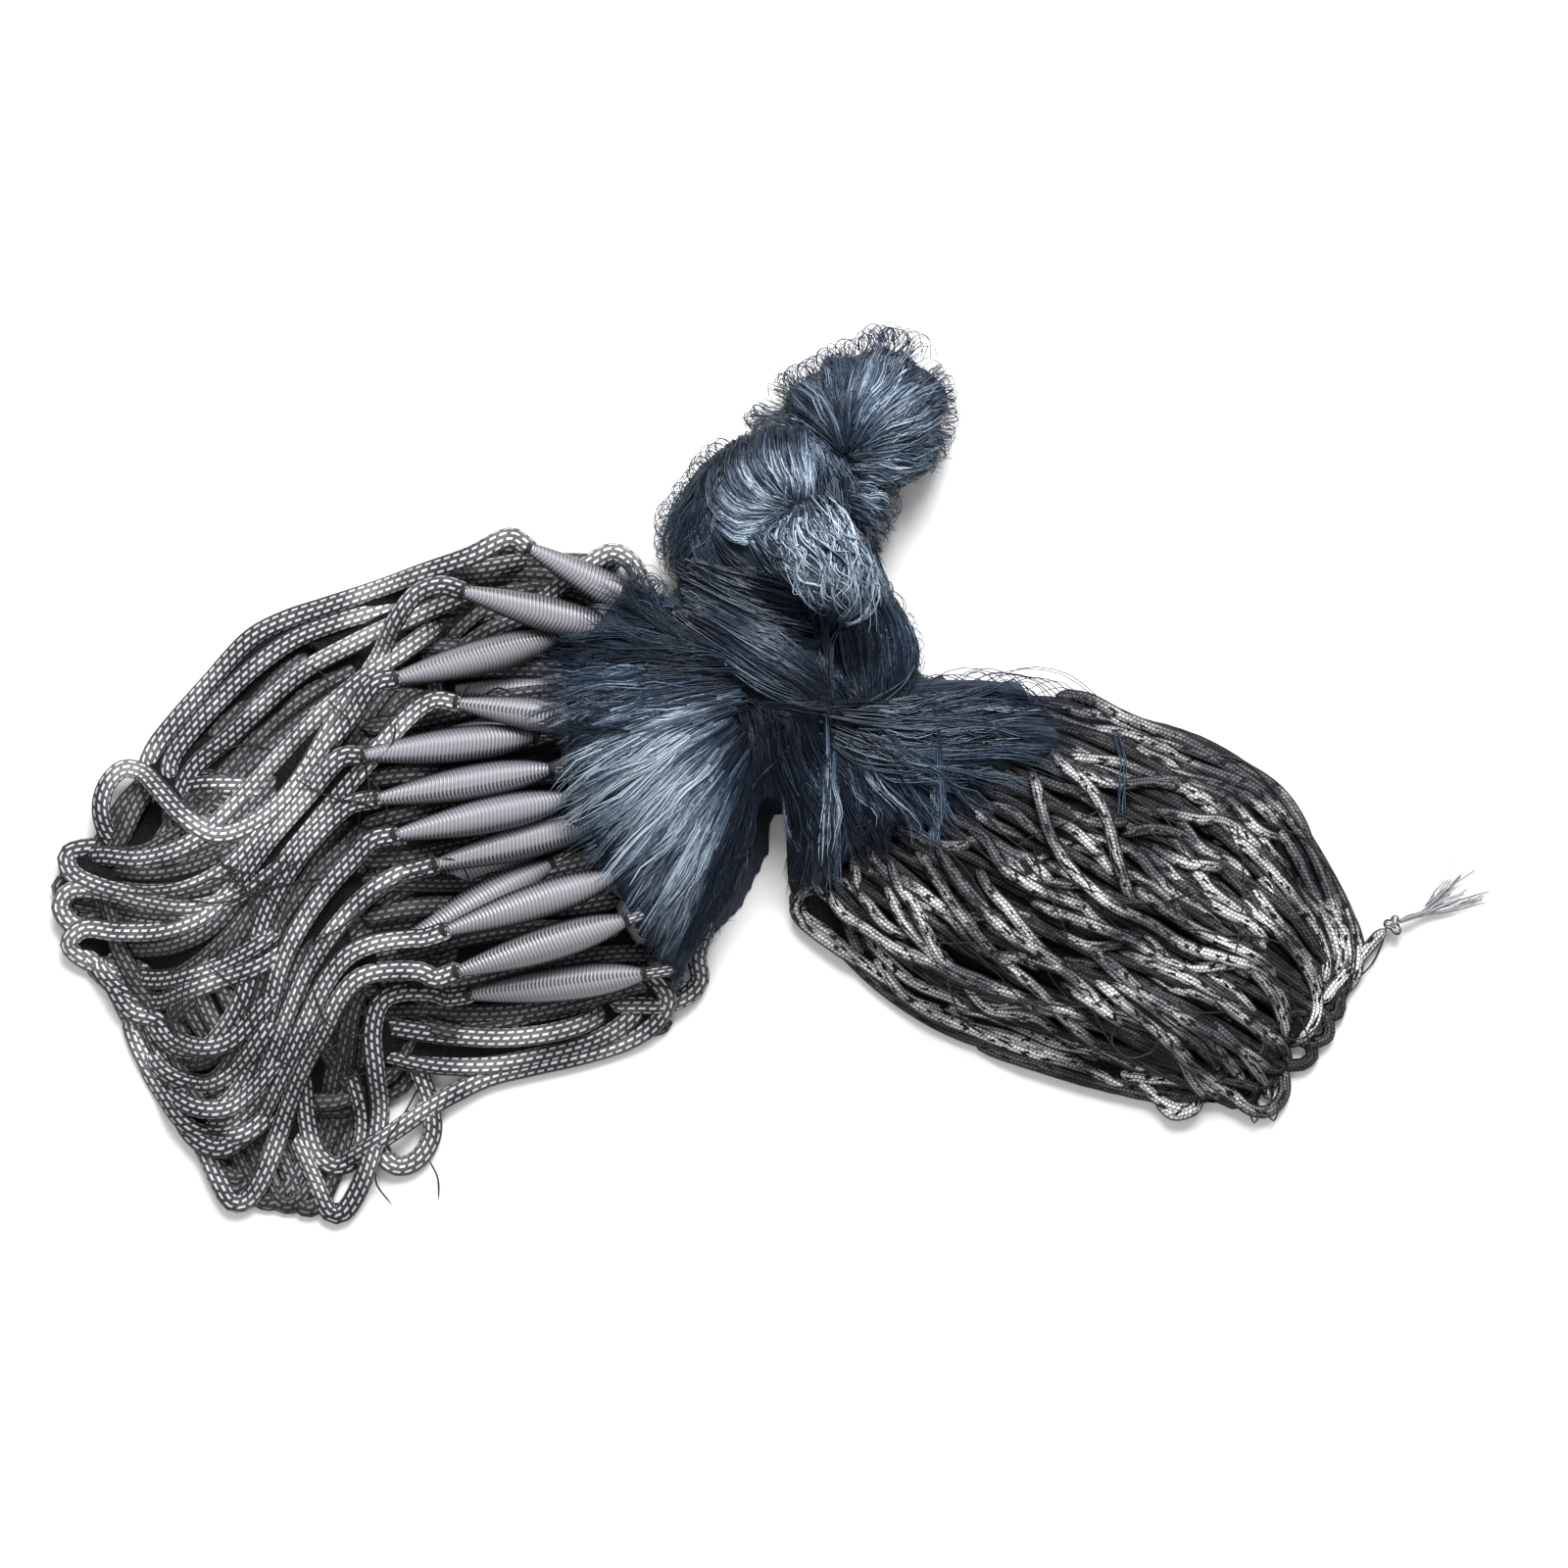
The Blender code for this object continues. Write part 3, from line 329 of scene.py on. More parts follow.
leadBraid = {
    **floatBraid,
    "pitch": 1.5 * mm,
    "stretch": 1.2,
    "gap": 0.16,
    "slant": 0.3,
    "edge": 1.6,
    "light": (0.97, 0.97, 0.99),
    "pale": (0.115, 0.115, 0.125),
    "dark": (0.022, 0.022, 0.026),
    "flecks": (100, 4.2, 1),    # black flecks a metre and round the line
    "fleck": (0.012, 0.012, 0.015),
    "flank": 0.08,
    "side": 0.36,
    "shine": 0.12,
    "roughness": 0.6,
}
# a darker copy of the braid for the lower runs: painted shade
shadedDeepLeadBraid = {**leadBraid, "light": (0.12, 0.12, 0.13), "pale": (0.032, 0.032, 0.036),
                 "dark": (0.004, 0.004, 0.006), "lit": (0.018, 0.018, 0.02)}


def braidMaterial(name, setup):
    # a braided sleeve: light stitches in staggered rows over a dark ground
    look = Look(name, setup["roughness"], setup["shine"])
    along, around, _ = look.split(look.scaled(look.uv, (setup["stretch"] / setup["pitch"],
                                                        setup["rows"], 1)))
    lean = look.math("MULTIPLY", look.math("FRACT", around), setup["slant"])
    brick = look.node("TexBrick", {
        "Vector": look.combine(look.math("ADD", along, lean), around), "Color1": (1, 1, 1),
        "Color2": (0, 0, 0), "Mortar": (0, 0, 0), "Scale": 1.0, "Mortar Size": setup["gap"],
        "Mortar Smooth": 0.8, "Bias": 0.0, "Brick Width": setup["stretch"],
        "Row Height": 1.0}, offset=0.5, squash=1.0)
    size, low, high = setup["wear"]
    worn = look.threshold(look.noise(look.place, size), low, high)
    stitch = look.mix(worn, setup["pale"], setup["light"])
    ground = look.mix(worn, setup["dark"], setup["lit"])
    between = look.math("MULTIPLY", brick.outputs["Fac"], setup["edge"], clamp=True)
    colour = look.mix(between, stitch, ground)
    if "flecks" in setup:
        spots = look.noise(look.scaled(look.uv, setup["flecks"]), 2.4, 1.0)
        colour = look.mix(look.threshold(spots, 0.56, 0.60), colour, setup["fleck"])
    # painted shade on the line's sides and underside
    look.paintFlankShade(colour, setup["flank"], setup["side"])
    look.bump(look.math("SUBTRACT", 1.0, between), setup["relief"])
    return look.material


# the netting's navy, darkest in painted shade, up to the steel blue of painted highlights
yarnLook = {
    "shades": [(0.0, (0.0015, 0.0025, 0.005)), (0.3, (0.006, 0.011, 0.022)),
               (0.5, (0.022, 0.036, 0.062)), (0.72, (0.10, 0.142, 0.20)),
               (1.0, (0.44, 0.52, 0.61))],
    "roughness": 0.36,
    "shine": 0.45,
    "gleam": (0.74, 0.85, 1.0),
    "mottle": (130.0, 0.5),     # how fine, and how strong
}
frayLook = {
    "shades": [(0.1, (0.02, 0.02, 0.022)), (0.5, (0.25, 0.25, 0.27)), (0.9, (0.7, 0.7, 0.72))],
    "roughness": 0.6,
    "mottle": (260.0, 0.45),
}


def yarnMaterial(name, setup):
    # each strand's shade runs across its UV map, and varies along it: its own tone, with painted
    # highlights and painted shade where the flows give them
    look = Look(name, setup["roughness"], setup["shine"])
    size, amount = setup["mottle"]
    change = look.math("MULTIPLY", look.math("SUBTRACT", look.noise(look.uv, size, 2.0), 0.5),
                       amount)
    shade = look.math("ADD", look.split(look.uv)[1], change, clamp=True)
    look.fill("Base Color", look.ramp(shade, setup["shades"]))
    look.fill("Specular Tint", setup["gleam"])
    return look.material


def frayMaterial(name, setup):
    look = Look(name, setup["roughness"])
    size, least = setup["mottle"]
    mottle = look.math("ADD", look.noise(look.uv, size, 2.0), least)
    shade = look.math("MULTIPLY", look.split(look.uv)[1], mottle, clamp=True)
    look.fill("Base Color", look.ramp(shade, setup["shades"]))
    return look.material


def coreMaterial(name, dark, light, scale):
    # turns deep inside a pile, painted near-black: painted shade
    look = Look(name, 0.85, 0.08)
    stretched = look.scaled(look.place, (1, 2.2, 4))
    return look.packed(stretched, scale, [(0.35, dark), (0.75, light)], 1.2)


def streakMaterial(name, centre, dark, light):
    # strands seen deep in the netting, running out from its neck, painted darker than the strands
    # above: painted shade
    look = Look(name, 0.6, 0.2)
    x, y, z = look.split(look.place)
    turn = look.math("ARCTAN2", look.math("SUBTRACT", y, centre[1] * mm),
                     look.math("SUBTRACT", x, centre[0] * mm))
    rays = look.combine(*(look.math("MULTIPLY", value, times)
                          for value, times in ((turn, 46.0), (x, 35.0), (z, 35.0))))
    return look.packed(rays, 1.6, [(0.38, dark), (0.72, light)], 1.0)


def twineMaterial(name, dark, light):
    look = Look(name, 0.5)
    lay = look.node("TexWave", {"Vector": look.scaled(look.uv, (900, 3, 1), 0.6), "Scale": 1.0,
                                "Distortion": 0.4}).outputs["Fac"]
    look.fill("Base Color", look.ramp(lay, [(0.0, dark), (1.0, light)]))
    look.bump(lay, 0.1)
    return look.material


floatLineFinish = braidMaterial("float_line_braid_finish", floatBraid)
floatShadedDeepFinish = braidMaterial("float_line_shaded_braid", shadedDeepBraid)
leadLineFinish = braidMaterial("lead_line_braid_finish", leadBraid)
leadShadedDeepFinish = braidMaterial("lead_line_shaded_braid", shadedDeepLeadBraid)
yarnFinish = yarnMaterial("netting_yarn_finish", yarnLook)
twineFinish = twineMaterial("black_twine_finish", (0.003, 0.003, 0.004), (0.018, 0.018, 0.02))
floatCoreShadeFinish = coreMaterial("float_line_shaded_depth", (0.004, 0.004, 0.005), (0.02, 0.02, 0.022),
                               420.0)
leadCoreShadeFinish = coreMaterial("lead_line_shaded_depth", (0.003, 0.003, 0.004), (0.02, 0.02, 0.022),
                              480.0)
netCoreShadeFinish = streakMaterial("netting_shaded_depths_finish", (36, 30), (0.002, 0.003, 0.006),
                               (0.035, 0.055, 0.09))
print("materials made")


# the lead line's loose end: cord, knot and frayed strands

tail = {
    "route": [226, -84, 5.6, 230, -78.6, 4.8, 234.5, -73.2, 3.9, 239.5, -67.6, 3.1,
              244, -62.5, 3.0, 247.3, -58.7, 3.6, 250.1, -56.0, 4.6],
    "width": 4.8,
    "knotCentre": (252.5, -54.5, 5.0),
    "knotWidth": 3.3,
    "knotScale": 1.02,
    "stub": [254.9, -53.0, 5.0, 257.7, -51.6, 4.6, 264.5, -49.4, 3.0],
    "strands": 46,
    "strandWidth": 0.62,
    "heading": 32,
    "spread": 40,
    "reach": (5, 29),
    "rootWidth": 3.2,
    "rise": 1.2,
    "wave": 0.05,
    "step": 1.6,
    "thickness": (0.8, 1.3),
    "tones": (0.25, 1.0),
}


def makeTail(setup):
    path = smoothRoute(routeVectors(setup["route"]), 2 * mm)
    cord = sweepRoutes("lead_line_tail_cord", [path], setup["width"], sides=14)
    finishPiece(cord, leadLineFinish, ["lead_line_tail"])
    return cord, path


def makeKnot(setup):
    # an overhand knot: a short trefoil of the line, turned to face along the tail
    centre = Vector(setup["knotCentre"]) * mm
    ahead = (Vector(setup["stub"][:3]) - Vector(setup["route"][-3:])).normalized()
    turn = ahead.to_track_quat("X", "Z")
    loop = []
    for k in range(73):
        t = fullTurn * k / 72
        spot = Vector((1.25 * math.sin(t) + 0.5 * math.sin(2 * t) * 1.2,
                       1.5 * math.cos(t) - 1.25 * math.cos(2 * t) * 0.9,
                       -1.35 * math.sin(3 * t)))
        loop.append(centre + turn @ (spot * setup["knotScale"] * mm))
    knot = sweepRoutes("tail_overhand_knot", [loop], setup["knotWidth"], sides=12)
    return finishPiece(knot, leadLineFinish, ["tail_knot"])


def makeFray(setup):
    first, second, root = routeVectors(setup["stub"])
    shortest, longest = setup["reach"]
    routes, radii, shades = [], [], []
    for i in range(setup["strands"]):
        share = dice.random()
        heading = math.radians(setup["heading"] + setup["spread"] * (share - 0.5))
        reach = shortest + (longest - shortest) * dice.random() ** 2
        ahead = Vector((math.cos(heading), math.sin(heading), 0))
        side = Vector((-ahead.y, ahead.x, 0)) * (share - 0.5) * setup["rootWidth"] * mm
        rise = dice.uniform(-setup["rise"], setup["rise"]) * mm
        up = Vector((0, 0, rise))
        knots = [first + side * 0.5 + up, second + side * 0.8 + up,
                 root + side + Vector((0, 0, rise * 0.6))]
        for part in (0.4, 0.75, 1.0):
            bend = side.normalized() * math.sin(3.7 * i + 2 * part) * setup["wave"] * reach * mm
            spot = root + side + ahead * reach * part * mm + bend
            spot.z = max(0.3 * mm, root.z * (1 - part) + rise * 0.3 * (1 - part))
            knots.append(spot)
        path = smoothRoute(knots, setup["step"] * mm)
        routes.append(path)
        fine = dice.uniform(*setup["thickness"])
        radii.append([fine * (1.25 - 0.75 * k / len(path)) for k in range(len(path))])
        shades.append([dice.uniform(*setup["tones"])] * len(path))
    fray = sweepRoutes("tail_frayed_strands", routes, setup["strandWidth"], sides=5,
                       radii=radii, shades=shades)
    return finishPiece(fray, frayMaterial("frayed_strand_finish", frayLook),
                       ["tail_fray"])


tailCord, tailPath = makeTail(tail)
tailKnot = makeKnot(tail)
tailFray = makeFray(tail)
print("tail made")


# heights of the piles, so that turns lie on them

skyHeight = 0.2                 # rays are cast down from here


def nodeTree(names):
    # ray casting tree over some of the pieces
    places, faces = [], []
    for name in names:
        mesh = bpy.data.objects[name].data
        start = len(places)
        places += [tuple(v.co) for v in mesh.vertices]
        faces += [tuple(start + k for k in face.vertices) for face in mesh.polygons]
    return BVHTree.FromPolygons(places, faces)


floatNames = [f"float_{number:02d}" for number in range(1, 16)]
floatLineTree, leadLineTree, nettingTree, allTree = map(nodeTree, (
    ["float_line"], ["lead_line"], ["netting"],
    ["netting", "float_line", "lead_line", *floatNames]))


def topHeight(tree, x, y):
    hit = tree.ray_cast(Vector((x, y, skyHeight)), Vector((0, 0, -1)))[0]
    return hit.z if hit else 0.0


def drapeRoute(tree, route, lift, lowest, smooth=2):
    # lay a plan route over a pile and even out its height
    points = [Vector((p[0], p[1], 0)) for p in route]
    heights = np.array([max(topHeight(tree, p.x, p.y), lowest) for p in points])
    for k in range(2 * smooth):
        padded = np.concatenate([[heights[0]], heights, [heights[-1]]])
        beside = padded[:-2] + padded[2:]
        heights = np.maximum(heights, beside / 2) if k < smooth else 0.5 * heights + 0.25 * beside
    for point, height in zip(points, heights):
        point.z = max(height + lift, lowest)
    return points


def makeCore(node, name, material, inward, voxel):
    # the pile's inside, in dark painted shade: a rounded copy of the solid, a little smaller
    core = addObject(name, bpy.data.objects[node].data.copy())
    core.data.name = name
    makeActive(core)
    bpy.ops.object.mode_set(mode="EDIT")
    bpy.ops.mesh.select_all(action="SELECT")
    bpy.ops.mesh.remove_doubles(threshold=0.01 * mm)
    bpy.ops.object.mode_set(mode="OBJECT")
    for kind, settings in (("REMESH", {"mode": "VOXEL", "voxel_size": voxel * mm}),
                           ("DISPLACE", {"strength": -inward * mm, "mid_level": 0.0}),
                           ("SMOOTH", {"factor": 0.5, "iterations": 3})):
        modifier = core.modifiers.new(kind.lower(), kind)
        for key, value in settings.items():
            setattr(modifier, key, value)
        bpy.ops.object.modifier_apply(modifier=modifier.name)
    raiseToFloor(core.data)
    finishPiece(core, material, [node])


# float line: a flat braid in long bights

floatLine = {
    "width": 7.5,
    "thickness": 3.8,
    "step": 2.2,
    "sink": 1.0,
    "ride": 9.0,
    "burial": 8.0,
    "low": 6.0,
    "radius": 3.3,
    "room": 2.2,
    "reach": 12,                # a bight with no float starts this much further back
    "fillSink": 2.2,
    "fillShares": (0.25, 0.5, 0.75),    # where lower turns lie between two bights
    "fillChange": 0.08,
    "fillPoints": 72,
    "drift": 1.6,
    "lowest": 2.0,
    "order": [0, 1, 2, 3, 5, 6, 7, 8, 9, 10, 11, 12, 13],   # neighbours, with turns between
}
deepTurns = [                   # turns that lie in the hollows
    [-97, 73.1, -70, 75.3, -44.8, 72.4, -28.6, 67.7],
    [-91.6, 68.1, -66.4, 68.8, -44.8, 65.9],
    [-102.4, 63, -73.6, 63.7, -48.4, 61.6],
    [-197, -68.1, -193.8, -78.7, -188.5, -89.3, -182.2, -98.8],
    [-189.6, -69.2, -186.4, -79.8, -182.2, -89.3, -175.9, -97.7],
    [-181.1, -68.1, -178, -77.6, -172.7, -88.2],
    [-199.1, -71.3, -198, -81.9, -194.9, -92.4, -189.6, -101.9],
    [-144.2, -90.3, -141, -99.8, -135.7, -109.3, -129.4, -117.8],
    [-114.6, -85, -106.2, -90.3, -96.7, -93.5, -87.2, -94.5],
]
extraTurns = [                  # more turns on top, seen between the long bights
    [-217.6, -63.9, -222.8, -64.4, -226.3, -68.7, -218.1, -78.7, -204.4, -82.9, -191.7, -78.7,
     -180.1, -74.5, -165.3, -69.2, -150.5, -59.7],
    [-224.4, -62.9, -223.4, -69.2, -219.7, -78.7, -213.9, -86.6, -204.4, -89.3, -197, -96.6,
     -186.4, -99.3, -175.9, -96.6, -165.3, -86.1, -154.7, -73.4],
    [-220.7, -75.5, -217.6, -84, -211.8, -94.5, -204.4, -106.2, -194.9, -112.5, -184.3, -113.5,
     -173.7, -107.2, -163.2, -93.5, -154.7, -79.8],
    [-215.4, -87.1, -212.8, -96.6, -207.5, -107.2, -199.1, -116.7, -188.5, -122, -175.9, -120.9,
     -163.2, -109.3, -154.7, -96.6],
    [-210.7, -99.8, -207.5, -109.3, -202.2, -117.8, -193.8, -128.3, -184.3, -132.5, -171.6, -131.5,
     -159, -119.9, -150.5, -107.2],
    [-220.2, -62.9, -226.5, -69.2, -214.9, -73.4, -202.2, -74.5, -188.5, -71.3, -175.9, -67.1,
     -163.2, -59.7, -152.6, -50.2],
]
floats = [                      # left tip x, y, z, heading and drop
    (-66, 84, 20, -28, 12), (-90, 68, 30, -15, 18), (-114, 36, 37, 15, 24),
    (-94, 32, 12, -1, 3), (-92, 27, 30, -8, 7), (-110, 15, 10, 1, 2),
    (-126, 8, 38, 6.5, 18), (-121, -8, 35, 10, 10), (-114, -21, 38, 12, 10),
    (-100, -32, 30, 15, 10), (-114, -42, 18, 18, 11), (-115, -62, 20, 28, 2),
    (-96, -56, 33, 18, 0), (-92, -71, 28, 17, -2), (-88, -80, 17, 7, -4),
]
floatSize = {"length": 64, "width": 13.4}
bights = [                      # the float a bight leaves, and its route
    (1, [-88, 81, 22, -106, 75, 19, -124, 69, 17, -142, 63, 15, -157, 58, 14, -170, 51, 18, -184,
     36, 14, -198, 20, 10, -206, 9, 8, -208, 0, 6, -203, -10, 5]),
    (0, [-78, 78, 26, -92, 75, 30, -106, 69, 31, -122, 62, 28, -138, 57, 26, -153, 51, 22, -166,
     42, 19, -178, 31, 17, -191, 17, 15, -199, 5, 13, -197, -3, 13, -184, -3, 17, -168, -4, 21,
     -154, -8, 25]),
    (0, [-94, 66, 31, -112, 58, 32, -131, 49, 30, -149, 39, 27, -164, 26, 25, -177, 14, 22, -189,
     4, 18, -195, -8, 15, -190, -18, 14, -178, -24, 16]),
    (0, [-108, 50, 33, -124, 38, 33, -141, 24, 31, -157, 8, 29, -170, -6, 26, -182, -18, 22, -194,
     -26, 18, -210, -30, 13, -226, -29, 8, -236, -31, 5]),
    (2, [-107, 67, 31, -115, 57, 30, -122, 43, 31, -136, 21, 33, -152, -4, 32, -167, -17, 27, -181,
     -21, 25, -193, -14, 24, -203, -4, 22, -210, 2, 19, -217, 3, 16, -223, -3, 12, -225, -12, 9,
     -222, -22, 6, -212, -30, 6]),
    (3, [-131, 22, 36, -147, 2, 33, -162, -18, 28, -176, -33, 24, -192, -41, 20, -210, -43, 16,
     -226, -40, 12, -236, -35, 8, -237, -28, 5, -222, -26, 3, -204, -28, 5]),
    (5, [-110, 22, 33, -120, 11, 35, -133, -4, 35, -147, -20, 32, -160, -34, 28, -174, -44, 24,
     -190, -48, 20, -208, -46, 15, -225, -42, 11, -236, -42, 8, -240, -48, 6, -235, -55, 5, -223,
     -57, 3, -207, -58, 5]),
    (7, [-146, -6, 36, -160, -22, 32, -172, -37, 28, -185, -50, 23, -201, -56, 18, -218, -57, 13,
     -231, -56, 9, -237, -62, 6, -228, -69, 3, -212, -70, 5, -195, -69, 8]),
    (8, [-134, -12, 36, -146, -24, 34, -156, -38, 31, -163, -52, 28, -167, -66, 25, -171, -80, 21,
     -178, -92, 17, -187, -100, 13, -198, -100, 9, -206, -91, 6, -206, -80, 4]),
    (9, [-130, -30, 37, -141, -42, 35, -150, -55, 31, -157, -69, 28, -161, -83, 25, -165, -97, 21,
     -171, -111, 16, -180, -121, 12, -190, -121, 8, -199, -111, 5, -206, -98, 3]),
    (10, [-114, -36, 33, -126, -44, 33, -138, -57, 30, -147, -71, 27, -154, -86, 24, -160, -101,
     20, -167, -116, 15, -177, -127, 10, -188, -128, 6]),
    (13, [-110, -59, 34, -123, -61, 34, -133, -66, 32, -141, -76, 29, -147, -88, 26, -153, -100,
     22, -160, -114, 17, -168, -128, 12, -180, -137, 8, -191, -133, 5, -199, -120, 3]),
    (14, [-106, -71, 30, -120, -71, 31, -129, -74, 30, -136, -82, 27, -142, -94, 24, -149, -106,
     20, -155, -120, 16, -160, -134, 11, -165, -147, 7, -171, -156, 3, -177, -157, 3, -182, -149,
     3, -187, -138, 3, -195, -126, 3]),
    (15, [-102, -79, 20, -114, -79, 22, -121, -83, 22, -124, -94, 20, -123, -108, 17, -122, -124,
     12, -125, -139, 8, -130, -152, 5, -136, -161, 3, -141, -161, 3, -146, -150, 3, -151, -138, 5,
     -156, -126, 8]),
    (0, [-150, -112, 12, -149, -126, 8, -146, -138, 5, -139, -144, 3, -131, -140, 3, -128, -128, 5,
     -131, -112, 9, -136, -98, 13]),
    (0, [-128, -138, 8, -117, -131, 9, -107, -124, 6, -95, -117, 5, -82, -111, 3, -66, -107, 3,
     -48, -103, 3, -32, -98, 3, -21, -91, 5, -16, -82, 8, -20, -75, 10, -28, -72, 12]),
    (0, [-120, -102, 8, -102, -106, 6, -80, -106, 5, -59, -102, 5, -40, -96, 6, -28, -87, 8, -26,
     -78, 10]),
    (0, [-118, -92, 13, -98, -95, 11, -73, -96, 10, -50, -92, 11, -34, -84, 12]),
    (0, [-108, -108, 7, -104, -120, 5, -103, -132, 3, -108, -141, 3, -115, -144, 3, -121, -140, 6,
     -125, -130, 9]),
    (0, [-26, -84, 9, -17, -84, 6, -9, -81, 3, -4, -75, 3, -5, -66, 6, -1, -52, 9, 5, -38, 13, 9,
     -26, 17, 12, -14, 20]),
    (0, [-66, 62, 10, -54, 72, 12, -44, 79, 15, -36, 83, 17, -29, 79, 16, -25, 71, 13, -21, 62,
     9]),
    (0, [-231, -66, 5, -222, -73, 3, -206, -76, 5, -188, -75, 8, -172, -70, 12]),
    (0, [-222, -76, 3, -212, -85, 3, -196, -87, 5, -180, -82, 9]),
]
heapRows = [                    # middle, height, and reach every 15 degrees
    (-160, -36, 30, [63, 67, 76, 91, 113, 99, 87, 74, 65, 59, 61, 64, 71, 68, 68, 70, 82, 100, 88,
     92, 91, 80, 72, 65]),
    (-66, -8, 18, [63, 64, 68, 73, 78, 80, 80, 76, 70, 64, 58, 56, 55, 57, 63, 73, 89, 105, 93, 90,
     88, 74, 65, 62]),
    (-118, -18, 30, [30, 31, 33, 38, 46, 56, 62, 56, 46, 38, 33, 31, 30, 31, 33, 38, 46, 56, 62,
     56, 46, 38, 33, 31]),
]


def floatTips(row):
    x, y, z, heading, drop = row
    left = Vector((x, y, z)) * mm
    plan = math.sqrt(floatSize["length"]**2 - drop**2) * mm
    turn = math.radians(heading)
    return left, left + Vector((plan * math.cos(turn), plan * math.sin(turn), -drop * mm))


def heapReach(row, x, y):
    reaches = row[3]
    turn = math.atan2(y, x) / fullTurn * len(reaches)
    before = math.floor(turn)
    first, second = (reaches[k % len(reaches)] for k in (before, before + 1))
    return (first + (second - first) * (turn - before)) * mm


def heapHeight(rows, x, y):
    best = 0.0
    for row in rows:
        across = Vector((x - row[0] * mm, y - row[1] * mm))
        share = across.length / heapReach(row, across.x, across.y)
        best = max(best, row[2] * mm * (1.0 - share**3))
    return best


def settleBight(setup, number, route):
    # the bight's knots, let down onto the pile
    knots = routeVectors(route)
    if number:
        left, right = floatTips(floats[number - 1])
        outward = (left - right).normalized() * setup["room"] * mm
        settled = knots[2:]     # the first two lie on the float's own tip
        knots = [left - outward * 1.5, left + outward * 0.5, left + outward * 4, *knots]
    else:
        knots = [knots[0] + (knots[0] - knots[1]).normalized() * setup["reach"] * mm, *knots]
        settled = knots
    for knot in settled:
        top = heapHeight(heapRows, knot.x, knot.y)
        if knot is settled[-1]:
            knot.z = min(knot.z, top - setup["burial"] * mm)
        elif knot.z > setup["low"] * mm:
            knot.z = min(max(knot.z, top - setup["sink"] * mm), top + setup["ride"] * mm)
        knot.z = max(knot.z, setup["radius"] * mm)
    route = smoothRoute(knots, setup["step"] * mm)
    return route if number else tuckEnds(route, 7)


tucked = {"points": 8, "lowest": 1.8}


def tuckEnds(route, depth):
    # both ends dive under their neighbours
    count = min(tucked["points"], len(route) // 3)
    for k in range(count):
        dip = (1 - k / count) ** 2 * depth * mm
        for spot in (route[k], route[-1 - k]):
            spot.z = max(tucked["lowest"] * mm, spot.z - dip)
    return route


def makeBraids(name, routes, material, sides, amount):
    # a flat braid rolls a little from side to side along its way
    tilts = []
    for route in routes:
        start = dice.uniform(0, 6)
        tilts.append([amount * math.sin(start + 0.05 * k)
                      + 0.5 * amount * math.sin(2 * start + 0.13 * k) for k in range(len(route))])
    piece = sweepRoutes(name, routes, floatLine["width"], floatLine["thickness"], sides,
                        tilts=tilts)
    finishPiece(piece, material, ["float_line"])


def makeFloatLine(setup):
    lowest = setup["lowest"] * mm
    mains = [settleBight(setup, number, route) for number, route in bights]
    fills = []
    for first, second in zip(setup["order"], setup["order"][1:]):
        before, after = (evenRoute(mains[k], setup["fillPoints"]) for k in (first, second))
        for share in setup["fillShares"]:
            share += dice.uniform(-setup["fillChange"], setup["fillChange"])
            route = before * (1 - share) + after * share
            plan = []
            sway = dice.uniform(0, 6)
            for k, spot in enumerate(route):
                drift = setup["drift"] * mm * math.sin(sway + 0.12 * k)
                x, y = spot[0] + drift, spot[1] - drift
                top = heapHeight(heapRows, x, y) - setup["fillSink"] * mm
                z = min(max(top, lowest), max(spot[2], lowest))
                plan.append(Vector((x, y, z)))
            fills.append(tuckEnds(plan, 4))
    for turns, layer, lift, depth in ((extraTurns, mains, -0.4, 12), (deepTurns, fills, -2.5, 4)):
        for numbers in turns:
            plan = planRoute(numbers, setup["step"] * mm)
            layer.append(tuckEnds(drapeRoute(floatLineTree, plan, lift * mm, lowest, 3), depth))
    makeBraids("float_line_bights", mains, floatLineFinish, 14, 0.35)
    makeBraids("float_line_lower_turns", fills, floatShadedDeepFinish, 10, 0.3)


makeFloatLine(floatLine)
makeCore("float_line", "float_line_depths", floatCoreShadeFinish, 2.6, 3.6)
print("float line made")


rimTurns = {
    "levels": [3.2, 7.5],
    "points": 240,
    "out": 1.4,
    "sway": 1.4,
    "bob": 0.8,
    "lowest": 2.0,
    "shortest": 8,              # fewer points than this make no turn
    "across": 15,
    "columns": (-128, 19, 8),   # where these begin, how far apart their knots are, and how many
    "rows": (-98, 172),
    "seam": [-27, 78, -36, 64, -47, 50, -54, 34, -53, 12, -47, -13, -38, -35, -27, -57, -14, -76,
             -4, -92],          # the float line's edge by the netting
}


def seamX(y):
    return float(np.interp(y / mm, rimTurns["seam"][::-2], rimTurns["seam"][-2::-2])) * mm


